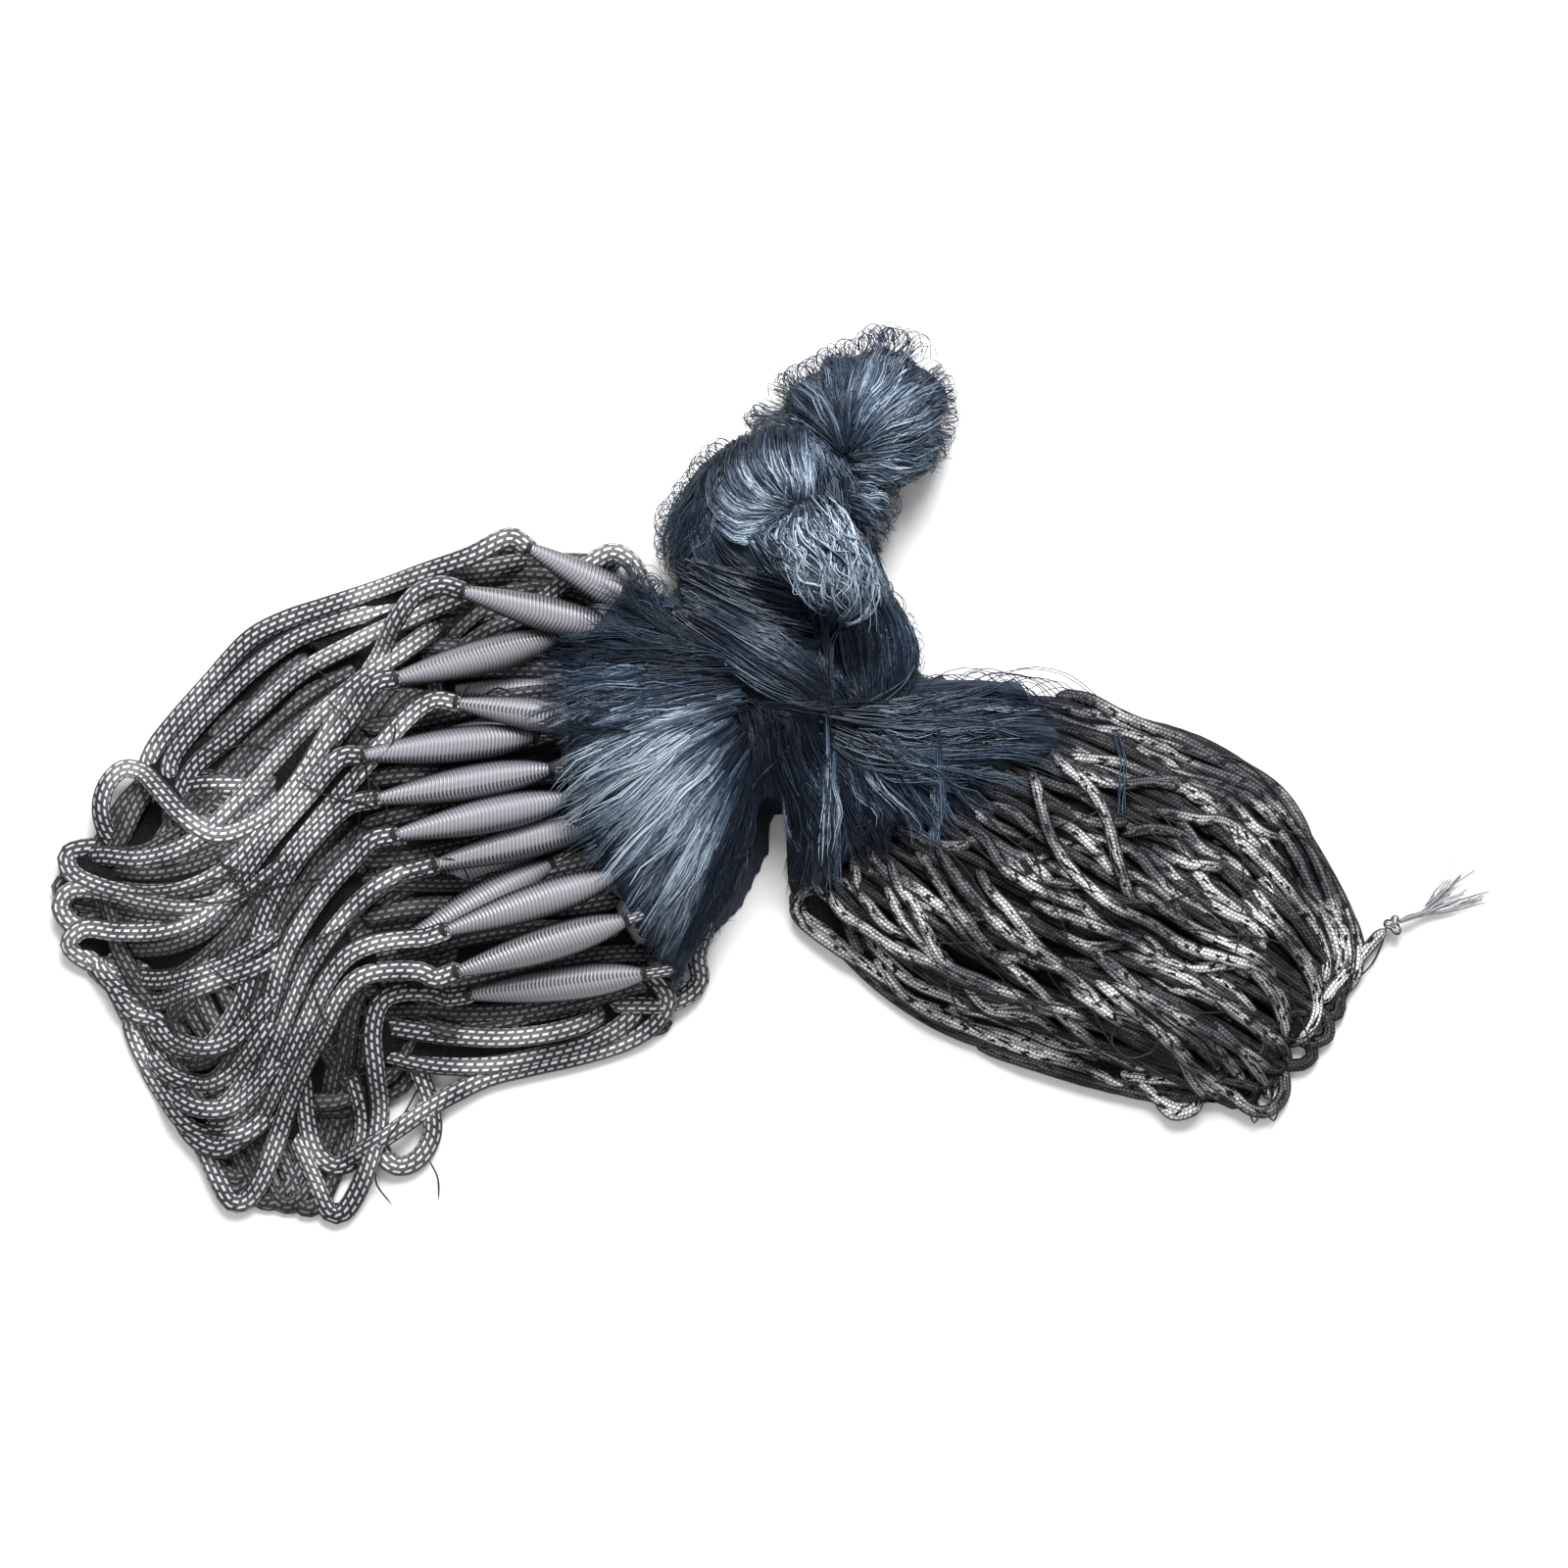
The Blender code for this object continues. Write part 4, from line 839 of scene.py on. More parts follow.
def makeRimTurns(setup):
    # turns that lie round the foot of the pile, and those that cross under the floats
    routes = []
    for row in heapRows[:2]:
        for i, level in enumerate(setup["levels"]):
            if level > row[2] - 3:
                continue
            share = (1 - level / row[2]) ** (1 / 3)
            runs = [[]]
            for k in range(setup["points"] + 1):
                turn = fullTurn * k / setup["points"]
                ahead = Vector((math.cos(turn), math.sin(turn), 0))
                reach = heapReach(row, ahead.x, ahead.y) * share + setup["out"] * mm
                reach += setup["sway"] * mm * math.sin(5 * turn + 2 * i)
                spot = Vector((row[0], row[1], level)) * mm + ahead * reach
                spot.z += setup["bob"] * mm * math.sin(7 * turn + i)
                spot.z = max(spot.z, setup["lowest"] * mm)
                inside = heapHeight(heapRows, spot.x, spot.y) > spot.z + 4 * mm
                if spot.x < seamX(spot.y) - 2 * mm and not inside:
                    runs[-1].append(spot)
                else:
                    runs.append([])
            routes += [tuckEnds(run, 6) for run in runs if len(run) > setup["shortest"]]
    (west, apart, count), (south, reach) = setup["columns"], setup["rows"]
    for i in range(setup["across"]):
        y = south + reach * i / (setup["across"] - 1)
        knots = []
        for k in range(count):
            x = west + apart * k
            yHere = y + 3 * math.sin(1.7 * i + k) + 2 * k - 4
            if x * mm > seamX(yHere * mm) + 9 * mm:
                break
            top = heapHeight(heapRows, x * mm, yHere * mm)
            knots.append(Vector((x * mm, yHere * mm,
                                 max(top + 0.5 * mm, setup["lowest"] * mm))))
        if len(knots) > 2:
            routes.append(smoothRoute(knots, 2.5 * mm))
    makeBraids("float_line_rim_turns", routes, floatShadedDeepFinish, 10, 0.4)


makeRimTurns(rimTurns)
print("rim turns made")


# floats: foam spindles under a woven cover

cover = {
    "profile": [0.0, 0.33, 0.1, 0.52, 0.25, 0.75, 0.42, 0.94, 0.58, 1.0, 0.74, 0.94, 0.88, 0.72,
                1.0, 0.37],     # how far along, and how wide there
    "ribPitch": 1.44 * mm,
    "columns": 6,
    "slant": 0.7,
    "light": (0.34, 0.335, 0.37),
    "dark": (0.15, 0.148, 0.17),
    "mottle": (0.22, 0.21, 0.26),
    "hollow": (0.012, 0.012, 0.016),
    "roughness": 0.34,
    "shine": 0.9,
    "hole": (0.8, 0.42),        # how near a seam, and how deep between ribs, the holes are
    # painted shade on the float's sides and underside: how dark, and up to which slope
    "flank": (0.04, 0.3),
    "relief": 0.25,
    "pole": 0.02,               # the share of the sphere that closes each end
}


def coverMaterial(name, setup):
    # slanting ribs that meet in herringbone rows along the float
    look = Look(name, setup["roughness"], setup["shine"])
    along, around, _ = look.split(look.uv)
    zigzag = look.math("PINGPONG", look.math("MULTIPLY", around, setup["columns"]), 1.0)
    ribs = look.math("MULTIPLY", along, 1 / setup["ribPitch"])
    slanted = look.math("ADD", ribs, look.math("MULTIPLY", zigzag, setup["slant"]))
    wave = look.math("SINE", look.math("MULTIPLY", slanted, fullTurn))
    rib = look.math("MULTIPLY_ADD", wave, 0.5, 0.5)
    hole = look.math("MULTIPLY", look.math("GREATER_THAN", zigzag, setup["hole"][0]),
                     look.math("LESS_THAN", rib, setup["hole"][1]))
    # the ribs' light tops and dark valleys are painted sheen and painted shade, beside the bump;
    # the holes are the weave's own dark gaps
    colour = setup["dark"]
    mottle = look.noise(look.place, 90.0)
    for factor, share, over in ((rib, 0.9, "light"), (mottle, 0.35, "mottle"),
                                (hole, 0.9, "hollow")):
        colour = look.mix(look.math("MULTIPLY", factor, share), colour, setup[over])
    # painted shade: the float's sides and underside are darker than its top
    look.paintFlankShade(colour, *setup["flank"])
    look.bump(look.math("SUBTRACT", rib, hole), setup["relief"])
    return look.material


def makeFloatMaster(setup):
    # a sphere drawn out along Z to the spindle's profile
    deselectAll()
    bpy.ops.mesh.primitive_uv_sphere_add(segments=26, ring_count=48, radius=1.0)
    master = bpy.context.object
    master.name = "float_master"
    pole = setup["pole"]
    rows = zip(setup["profile"][::2], setup["profile"][1::2])
    smooth = arrayOf(smoothRoute([Vector((along, wide, 0)) for along, wide in rows], 0.01))
    mesh = master.data
    for vertex in mesh.vertices:
        share = 1 - math.acos(max(-1, min(1, vertex.co.z))) / math.pi
        flat = Vector((vertex.co.x, vertex.co.y, 0))
        height = (share - pole) / (1 - 2 * pole)
        size = np.interp(height, smooth[:, 0], smooth[:, 1]) * floatSize["width"] / 2 * mm
        if share < pole or share > 1 - pole:
            size *= max(0.0, 1 - (max(pole - share, share - 1 + pole) / pole) ** 2)
        if flat.length > 1e-6:
            flat.normalize()
        height = min(max(height, 0.0), 1.0) * floatSize["length"] * mm
        vertex.co = flat * float(size) + Vector((0, 0, height))
    for loop in mesh.loops:     # metres along, and the turn round
        uv = mesh.uv_layers[0].data[loop.index].uv
        uv.y = uv.x
        uv.x = mesh.vertices[loop.vertex_index].co.z
    mesh.shade_smooth()
    return master


def makeFloats(setup):
    master = makeFloatMaster(setup)
    finish = coverMaterial("float_cover_finish", setup)
    for name, row in zip(floatNames, floats):
        left, right = floatTips(row)
        turn = (right - left).to_track_quat("Z", "Y").to_matrix().to_4x4()
        roll = Matrix.Rotation(dice.uniform(0, 6.28), 4, "Z")
        piece = addObject(f"covered_{name}", master.data.copy())
        piece.data.transform(Matrix.Translation(left) @ turn @ roll)
        finishPiece(piece, finish, [name])
    bpy.data.objects.remove(master, do_unlink=True)


makeFloats(cover)
print("floats made")


lashing = {
    "turns": 3,
    "corners": 14,              # points in each turn
    "radius": 2.6,
    "tipRadius": 2.5,
    "rise": 1.7,
    "twine": 0.75,
    "room": 2.2,
    "lashed": [1, 2, 3, 5, 7, 8, 9, 10, 13, 14, 15],
    "stub": (4.6, 3.4),
    "stubRoute": [(-1, 0, 0), (3, 0, 0), (7, 0.4, 1), (12, 1, 4)],  # ahead, aside and down
}


def ringRoute(seat, turn, setup, radius):
    phase = dice.uniform(0, 6)
    count = setup["turns"] * setup["corners"]
    points = []
    for k in range(count + 1):
        angle = phase + fullTurn * k / setup["corners"]
        points.append(seat + turn @ Vector((radius * mm * math.cos(angle),
                                            radius * mm * math.sin(angle),
                                            (k / count - 0.5) * setup["rise"] * mm)))
    return points


def makeLashings(setup):
    # black twine wound round each end of a float, with a short loose end
    tips, stubs = [], []
    for number, row in enumerate(floats, start=1):
        left, right = floatTips(row)
        ahead = (right - left).normalized()
        turn = ahead.to_track_quat("Z", "Y")
        ring = ringRoute(left - ahead * setup["room"] / 2 * mm, turn, setup, setup["radius"])
        if number in setup["lashed"]:
            piece = sweepRoutes(f"wound_lashing_{number:02d}", [ring], setup["twine"], sides=6)
            finishPiece(piece, twineFinish, [f"lashing_{number:02d}"])
        tips.append(ringRoute(right + ahead * 0.7 * mm, turn, setup, setup["tipRadius"]))
        side = Vector((-ahead.y, ahead.x, 0)) * dice.uniform(-4, 3) * mm
        knots = [right + ahead * far * mm + side * aside - Vector((0, 0, down * mm))
                 for far, aside, down in setup["stubRoute"]]
        stubs.append(smoothRoute(knots, 1.5 * mm))
    finishPiece(sweepRoutes("float_tip_lashings", tips, setup["twine"], sides=6), twineFinish)
    finishPiece(sweepRoutes("float_tip_line_ends", stubs, *setup["stub"], 12), floatLineFinish)


makeLashings(lashing)
print("lashings made")


# lead line: thin braid over a lead core, laid in a long hank

leadLine = {
    "width": 4.9,
    "runs": 27,
    "deepRuns": 26,
    "sway": 3.2,
    "bulge": 14,
    "heading": (0.86, -0.5, 0),
    "lowest": 2.5,
    "points": 60,
    "reach": (0.93, 0.05),      # how far the runs go along the hank, and how this varies
    "deepReach": 0.97,
    "sink": 0.6,
    "deepSink": 3.4,
    "ripple": 0.8,
    "pair": 3,                  # a run is joined to the one this many further on
    "roundTurn": {"far": 0.42, "near": 0.62, "bulge": 0.13, "drops": (1.0, 2.5, 1.0)},
    "shortTurn": {"far": 0.38, "begins": 34, "rises": (1.6, 1.2), "drop": 3, "lowest": 2.6},
    "topLift": 0.6,
    "topBob": 0.5,
    "topEdge": [104, 27, 130, 29, 154, 21, 182, 9, 207, -8, 223, -28, 233, -47, 239, -58],
    "bottomEdge": [27, -34, 34, -52, 58, -75, 92, -94, 124, -104, 150, -113, 168, -119, 191, -125],
}
looseTurns = {
    "count": 30,
    "points": 30,
    "drift": (-0.09, 0.09),     # across the hank, where these stay inside
    "inside": (0.02, 0.98),
    "start": (0.0, 0.55),
    "span": (0.28, 0.48),
    "far": 0.97,
    "phase": (0, 6),
    "rise": (-0.6, 1.0),
    "sway": 1.7,
    "bob": 0.7,
}
leadHeap = [(128, -40, 36, [91, 84, 74, 66, 62, 62, 66, 69, 75, 76, 79, 86, 92, 82, 69, 62, 59,
                            57, 59, 70, 92, 110, 103, 109])]
leadTopTurns = [                # the turns that lie on top
    [116.6, 20, 122.9, 13.1, 128.6, 5.1, 136.7, -1.8, 142.4, -9.8, 145.9, -19, 148.7, -30.5, 151.6,
     -39.7, 155, -47.7],
    [108.5, 14.3, 112.6, 7.4, 118.3, -0.6, 120.6, -9.8, 124, -21.3, 130.9, -32.8, 139, -40.8,
     148.1, -47.7, 160.8, -53.4, 173.4, -61.5, 187.2, -66.1, 198.7, -69.5, 205.5, -74.1, 211.3,
     -83.3, 214.7, -93.6],
    [90.8, -0.6, 94.2, -8.7, 101.1, -15.6, 109.1, -20.1, 117.2, -23.6],
    [93, -16.7, 101.1, -23.6, 106.8, -32.8, 113.7, -38.5],
    [83.9, -23.6, 86.2, -30.5, 91.9, -38.5, 98.8, -46.5, 105.7, -54.6, 114.9, -60.3, 124, -66.1,
     132.1, -71.8],
    [80.4, -28.2, 86.2, -42, 94.2, -53.4, 105.7, -66.1, 118.3, -76.4, 127.5, -85.6, 139, -95.9,
     152.7, -103.9, 168.8, -109.7],
    [65.5, -30.5, 72.4, -42, 79.3, -56.9, 86.2, -68.4, 101.1, -75.2, 118.3, -84.4],
    [63.2, -33.9, 70.1, -51.1, 81.6, -64.9, 89.6, -72.9, 103.4, -75.2],
    [63.2, -60.3, 73.5, -64.9, 86.2, -69.5, 97.6, -74.1],
    [59.8, -62.6, 63.2, -69.5, 72.4, -81, 86.2, -86.7, 101.1, -93.6, 118.3, -100.5, 136.7, -106.2,
     150.4, -109.7],
    [112.6, 23.5, 125.2, 22.3, 134.4, 18.9, 145.9, 15.4, 155, 8.6, 166.5, 2.8, 182.6, -1.8, 195.2,
     -5.2, 205.5, -13.3, 213.6, -23.6],
    [128.6, 13.1, 136.7, 8.6, 148.1, 1.7, 160.8, -1.8, 172.3, -1.8, 178, -7.5, 187.2, -9.8, 192.9,
     -14.4],
    [127.5, 30.4, 139, 29.2, 150.4, 23.5, 160.8, 18.9, 173.4, 14.3, 187.2, 7.4, 198.7, 2.8, 210.1,
     -5.2, 218.2, -16.7, 221.6, -28.2, 220.5, -37.4],
    [132.1, 17.7, 150.4, 16.6, 166.5, 10.9, 183.7, 2.8, 201, -4.1, 212.4, -13.3, 221.6, -25.9,
     228.5, -42, 233.1, -58, 233.1, -69.5, 228.5, -78.7],
    [149.3, -21.3, 160.8, -19, 172.3, -21.3, 181.4, -28.2, 189.5, -33.9, 197.5, -39.7],
    [155, -14.4, 166.5, -13.3, 178, -15.6, 189.5, -16.7, 198.7, -23.6, 209, -32.8, 219.3, -43.1,
     228.5, -54.6, 231.9, -64.9, 231.9, -74.1],
    [183.7, -23.6, 192.9, -23.6, 201, -29.3, 211.3, -39.7, 220.5, -51.1, 226.2, -62.6, 227.4,
     -71.8, 225.1, -81],
    [153.9, -39.7, 163.1, -46.5, 175.7, -54.6, 187.2, -60.3, 197.5, -64.9, 204.4, -69.5, 211.3,
     -78.7],
    [196.4, -37.4, 203.3, -46.5, 211.3, -56.9, 219.3, -68.4, 223.9, -77.5, 222.8, -86.7],
    [121.7, -30.5, 134.4, -37.4, 143.6, -44.2, 155, -51.1],
    [116, -44.2, 127.5, -50, 141.3, -54.6, 155, -60.3, 166.5, -67.2, 178, -69.5, 194.1, -68.4,
     202.1, -74.1, 209, -84.4, 212.4, -94.8, 211.3, -102.8],
    [137.8, -61.5, 148.1, -69.5, 160.8, -81, 173.4, -87.9, 187.2, -95.9, 201, -103.9, 207.8,
     -109.7, 209, -115.4],
    [136.7, -69.5, 150.4, -82.1, 161.9, -91.3, 173.4, -102.8, 184.9, -112, 195.2, -118.9, 203.3,
     -121.2],
    [127.5, -74.1, 141.3, -83.3, 153.9, -92.5],
    [164.2, -89, 173.4, -100.5, 182.6, -113.1, 190.6, -120],
    [153.9, -105.1, 164.2, -117.7, 173.4, -122.3, 181.4, -120],
    [125.2, -8.7, 136.7, -15.6, 148.1, -16.7, 155, -15.6],
    [130.9, 7.4, 141.3, 6.3, 150.4, 5.1, 161.9, 0.5, 179.1, -2.9, 191.8, -8.7, 201, -19, 212.4,
     -23.6],
    [179.1, -75.2, 190.6, -83.3, 201, -89, 207.8, -98.2, 212.4, -106.2],
    [173.4, -69.5, 188.3, -75.2, 198.7, -85.6, 205.5, -94.8],
    [44.7, -39.6, 45.3, -45.3, 49.9, -51, 59, -56.8, 67.1, -62.5, 78.6, -67.1, 90, -70.6],
    [52.7, -22.3, 53.3, -31.5, 54.4, -40.7, 59, -47.6, 64.8, -54.5, 74, -59.1],
    [62.5, -18.9, 59.6, -24.6, 61.3, -31.5, 68.2, -38.4, 74, -45.3, 78.6, -54.5, 84.3, -63.7, 88.9,
     -69.4],
    [65.9, -29.2, 69.4, -39.6, 76.3, -48.7, 82, -59.1],
    [75.1, -22.3, 78.6, -30.4, 85.4, -40.7, 93.5, -51, 101.5, -62.5, 110.7, -71.7],
    [83.1, -22.3, 85.4, -29.2, 91.2, -38.4, 98.1, -46.4, 106.1, -54.5, 113, -60.2, 119.9, -63.7],
    [32.6, -40.7, 31.5, -46.4, 36.1, -52.2, 44.1, -57.9, 53.3, -66, 62.5, -72.8, 72.8, -80.9],
    [63.2, -69.5, 77, -84.4, 97.6, -93.6, 118.3, -101.6, 137.8, -107.4, 152.7, -114.3, 160.8,
     -118.9],
    [63.2, -59.2, 72.4, -63.8, 82.7, -68.4, 93, -74.1, 109.1, -78.7, 127.5, -84.4, 141.3, -89],
    [74.7, -85.6, 91.9, -91.3, 111.4, -95.9, 127.5, -102.8, 143.6, -106.2],
    [97.6, -30.5, 101.1, -39.7, 109.1, -48.8, 118.3, -60.3, 127.5, -69.5],
    [101.1, -23.6, 109.1, -32.8, 117.2, -39.7, 127.5, -44.2, 141.3, -48.8],
    [121.7, -14.4, 132.1, -19, 141.3, -27, 145.9, -28.2],
    [136.7, -60.3, 145.9, -69.5, 157.3, -78.7, 168.8, -85.6, 182.6, -95.9, 192.9, -107.4, 201,
     -116.6],
    [137.8, -67.2, 152.7, -77.5, 166.5, -87.9, 180.3, -99.4, 189.5, -110.8],
    [145.9, -62.6, 161.9, -68.4, 176.8, -75.2, 189.5, -84.4, 203.3, -94.8, 211.3, -105.1],
    [166.5, -74.1, 182.6, -81, 196.4, -89, 210.1, -98.2, 214.7, -108.5],
    [161.9, -90.2, 171.1, -100.5, 178, -112, 184.9, -120],
    [195.2, -37.4, 202.1, -46.5, 211.3, -56.9, 220.5, -68.4, 225.1, -79.8, 223.9, -86.7],
    [201, -32.8, 211.3, -44.2, 222.8, -56.9, 229.7, -69.5, 233.1, -78.7],
    [212.4, -30.5, 223.9, -44.2, 234.2, -56.9, 236.5, -69.5, 233.1, -78.7],
    [158.5, -23.6, 166.5, -28.2, 174.6, -31.6, 184.9, -32.8, 192.9, -35.1],
    [179.1, -44.2, 189.5, -50, 198.7, -54.6, 205.5, -62.6],
    [160.8, 6.3, 173.4, 0.5, 187.2, -2.9, 201, -9.8, 211.3, -19],
    [134.4, 1.7, 148.1, -2.9, 161.9, -1.8, 173.4, -4.1, 184.9, -9.8, 192.9, -17.8],
    [127.5, 22.3, 143.6, 23.5, 157.3, 17.7, 172.3, 12, 189.5, 5.1, 203.3, -4.1, 214.7, -13.3],
    [189.5, -113.1, 198.7, -122.3, 206.7, -123.5, 212.4, -116.6, 211.3, -106.2],
    [164.2, -117.7, 171.1, -124.6, 179.1, -122.3, 180.3, -116.6],
    [109.1, -62.6, 127.5, -69.5, 143.6, -83.3, 153.9, -91.3],
    [178, -85.6, 191.8, -97.1, 203.3, -110.8, 207.8, -120],
    [192.9, -44.2, 209, -58, 220.5, -71.8, 224.5, -84.4, 220.5, -94.8, 211.3, -99.4],
    [56.3, -58, 65.5, -67.2, 74.7, -75.2, 88.5, -81, 104.5, -86.7, 120.6, -89],
    [101.1, -86.7, 114.9, -92.5, 127.5, -98.2, 143.6, -101.6, 155, -106.2],
    [204.4, -14.4, 211.3, -21.3, 217, -30.5, 222.8, -42, 226.2, -53.4],
    [122.9, 26.9, 134.4, 24.6, 148.1, 21.2, 161.9, 16.6, 173.4, 13.1],
    [198.7, 2.8, 211.3, -8.7, 220.5, -22.4, 228.5, -36.2, 235.4, -50, 239.4, -62.6, 238.3, -74.1,
     231.9, -81],
    [42.5, -42, 33.9, -43.1, 32.2, -51.1, 46, -62.6, 63.2, -72.9],
]


def leadSpot(edges, share, t, phase):
    above, below = (Vector(edge[round(t * (len(edge) - 1))]) for edge in edges)
    sway = leadLine["sway"] * mm * math.sin(phase + 7 * t) * min(1.0, 4 * t)
    bulge = leadLine["bulge"] * mm * math.sin(math.pi * share) * t**2
    return (above.lerp(below, share) + Vector((0.4 * sway, sway, 0))
            + Vector(leadLine["heading"]) * bulge)


def onLeadHeap(spot, lift, change=0.0):
    height = heapHeight(leadHeap, spot.x, spot.y) + lift * mm
    return Vector((spot.x, spot.y, max(height + change, leadLine["lowest"] * mm)))


def makeLeadRuns(setup, edges):
    points, (reach, change) = setup["points"], setup["reach"]
    runs = []
    for i in range(setup["runs"]):
        share, phase = i / (setup["runs"] - 1), dice.uniform(0, 6)
        far = reach + change * math.sin(1.9 * i)
        runs.append([onLeadHeap(leadSpot(edges, share, far * k / points, phase), -setup["sink"],
                                setup["ripple"] * mm * math.sin(phase * 3 + 0.35 * k))
                     for k in range(points + 1)])
    return runs


def farTurn(out, back, share):
    # the far point of a round turn that joins two runs, and the way there
    ahead = out[-1] - out[-8] + back[-1] - back[-8]
    ahead.z = 0
    ahead.normalize()
    gap = (out[-1] - back[-1]).length
    return (out[-1] + back[-1]) / 2 + ahead * (gap * share), ahead * gap


def roundBight(setup, out, back):
    # two runs joined by a round turn over the rim
    turn = setup["roundTurn"]
    far, ahead = farTurn(out, back, turn["far"])
    first, last = (run[-1].lerp(far, turn["near"]) + ahead * turn["bulge"] for run in (out, back))
    quarter = [first, far, last]
    for spot, drop in zip(quarter, turn["drops"]):
        spot.z = onLeadHeap(spot, -drop).z
    bend = smoothRoute([out[-3], out[-1], *quarter, back[-1], back[-3]], 2 * mm)
    return out[:-3] + bend + back[:-3][::-1]


def shortBight(setup, out, back):
    # a bight on top that closes a gap between the pairs
    turn = setup["shortTurn"]
    out, back = ([spot + Vector((0, 0, rise * mm)) for spot in run[turn["begins"]:]]
                 for run, rise in zip((out, back), turn["rises"]))
    far = farTurn(out, back, turn["far"])[0]
    far.z = max(turn["lowest"] * mm, far.z - turn["drop"] * mm)
    bend = smoothRoute([out[-2], out[-1], far, back[-1], back[-2]], 2 * mm)
    return tuckEnds(out[:-2] + bend + back[:-2][::-1], 4)


def joinRuns(setup, runs):
    apart = setup["pair"]
    joined, short = [], []
    for i, (out, back) in enumerate(zip(runs, runs[apart:])):
        if i % (2 * apart) < apart:
            joined.append(roundBight(setup, out, back))
        else:
            short.append(shortBight(setup, out, back))
    return joined + short


def makeDeepRuns(setup, edges):
    # a layer in painted shade that shows between the others
    points = setup["points"]
    runs = []
    for i in range(setup["deepRuns"]):
        share, phase = (i + 0.5) / setup["deepRuns"], dice.uniform(0, 6)
        runs.append([onLeadHeap(leadSpot(edges, share, setup["deepReach"] * k / points, phase),
                                -setup["deepSink"]) for k in range(0, points - 1, 2)])
    return runs


def makeLooseTurns(setup, edges):
    # these wander over the runs
    points, (lowest, highest) = setup["points"], setup["inside"]
    turns = []
    for i in range(setup["count"]):
        share = (i + 0.5) / setup["count"]
        drift, start, span, phase, rise = (dice.uniform(*setup[key]) for key in (
            "drift", "start", "span", "phase", "rise"))
        run = []
        for k in range(points + 1):
            here = min(max(share + drift * (k / points - 0.5) * 2, lowest), highest)
            spot = leadSpot(edges, here, min(start + span * k / points, setup["far"]), phase)
            across = setup["sway"] * mm * math.sin(phase + 0.45 * k)
            spot += Vector((0.5 * across, across, 0))
            run.append(onLeadHeap(spot, rise, setup["bob"] * mm * math.sin(phase + 0.3 * k)))
        turns.append(tuckEnds(run, 6))
    return turns


def makeTopTurns(setup):
    turns = []
    for numbers in leadTopTurns:
        run = drapeRoute(leadLineTree, planRoute(numbers, 2.2 * mm), setup["topLift"] * mm,
                         setup["lowest"] * mm, 3)
        phase = dice.uniform(0, 6)
        for k, spot in enumerate(run):
            spot.z += setup["topBob"] * mm * math.sin(phase + 0.25 * k)
        turns.append(tuckEnds(run, 9))
    return turns


def makeLeadLine(setup):
    edges = [evenRoute(planRoute(setup[side], 2 * mm), 90) for side in ("topEdge", "bottomEdge")]
    bights = joinRuns(setup, makeLeadRuns(setup, edges))
    deep = makeDeepRuns(setup, edges)
    upper = makeLooseTurns(looseTurns, edges) + makeTopTurns(setup)
    for name, routes, material, sides in (("runs", bights, leadShadedDeepFinish, 8),
                                          ("inner_runs", deep, leadShadedDeepFinish, 8),
                                          ("upper_turns", upper, leadLineFinish, 10)):
        piece = sweepRoutes(f"lead_line_{name}", routes, setup["width"], sides=sides)
        finishPiece(piece, material, ["lead_line"])


makeLeadLine(leadLine)
makeCore("lead_line", "lead_line_depths", leadCoreShadeFinish, 5.4, 3.2)
print("lead line made")


# netting: strands combed over the skein and spread in two fans

makeCore("netting", "netting_depths", netCoreShadeFinish, 0.8, 3.2)

skeinShadeFills = [                  # name, middle, reach and height of a dark fill under an overhang: painted shade
    ("netting_neck_depths", (28, 105), (34, 15), 24),
    ("netting_end_depths", (57, 129), (29, 32), 24),
]


def makeSkeinShadeFill(name, middle, reach, height):
    # a dark body below the skein's overhangs, down to the floor: painted shade where the floor
    # would show
    deselectAll()
    bpy.ops.mesh.primitive_uv_sphere_add(segments=28, ring_count=14, radius=1, location=(0, 0, 0))
    fill = bpy.context.object
    fill.name = name
    for vertex in fill.data.vertices:
        share = 1.0
        while share > 0.3:      # drawn in until it is well under the skein
            x, y = ((middle[k] + reach[k] * vertex.co[k] * share) * mm for k in (0, 1))
            top = topHeight(nettingTree, x, y)
            if top > 7 * mm:
                break
            share -= 0.04
        vertex.co = (x, y, min(height * vertex.co.z * mm, top - mm))
    raiseToFloor(fill.data)
    finishPiece(fill, netCoreShadeFinish, ["netting"])


for row in skeinShadeFills:
    makeSkeinShadeFill(*row)
print("netting core made")

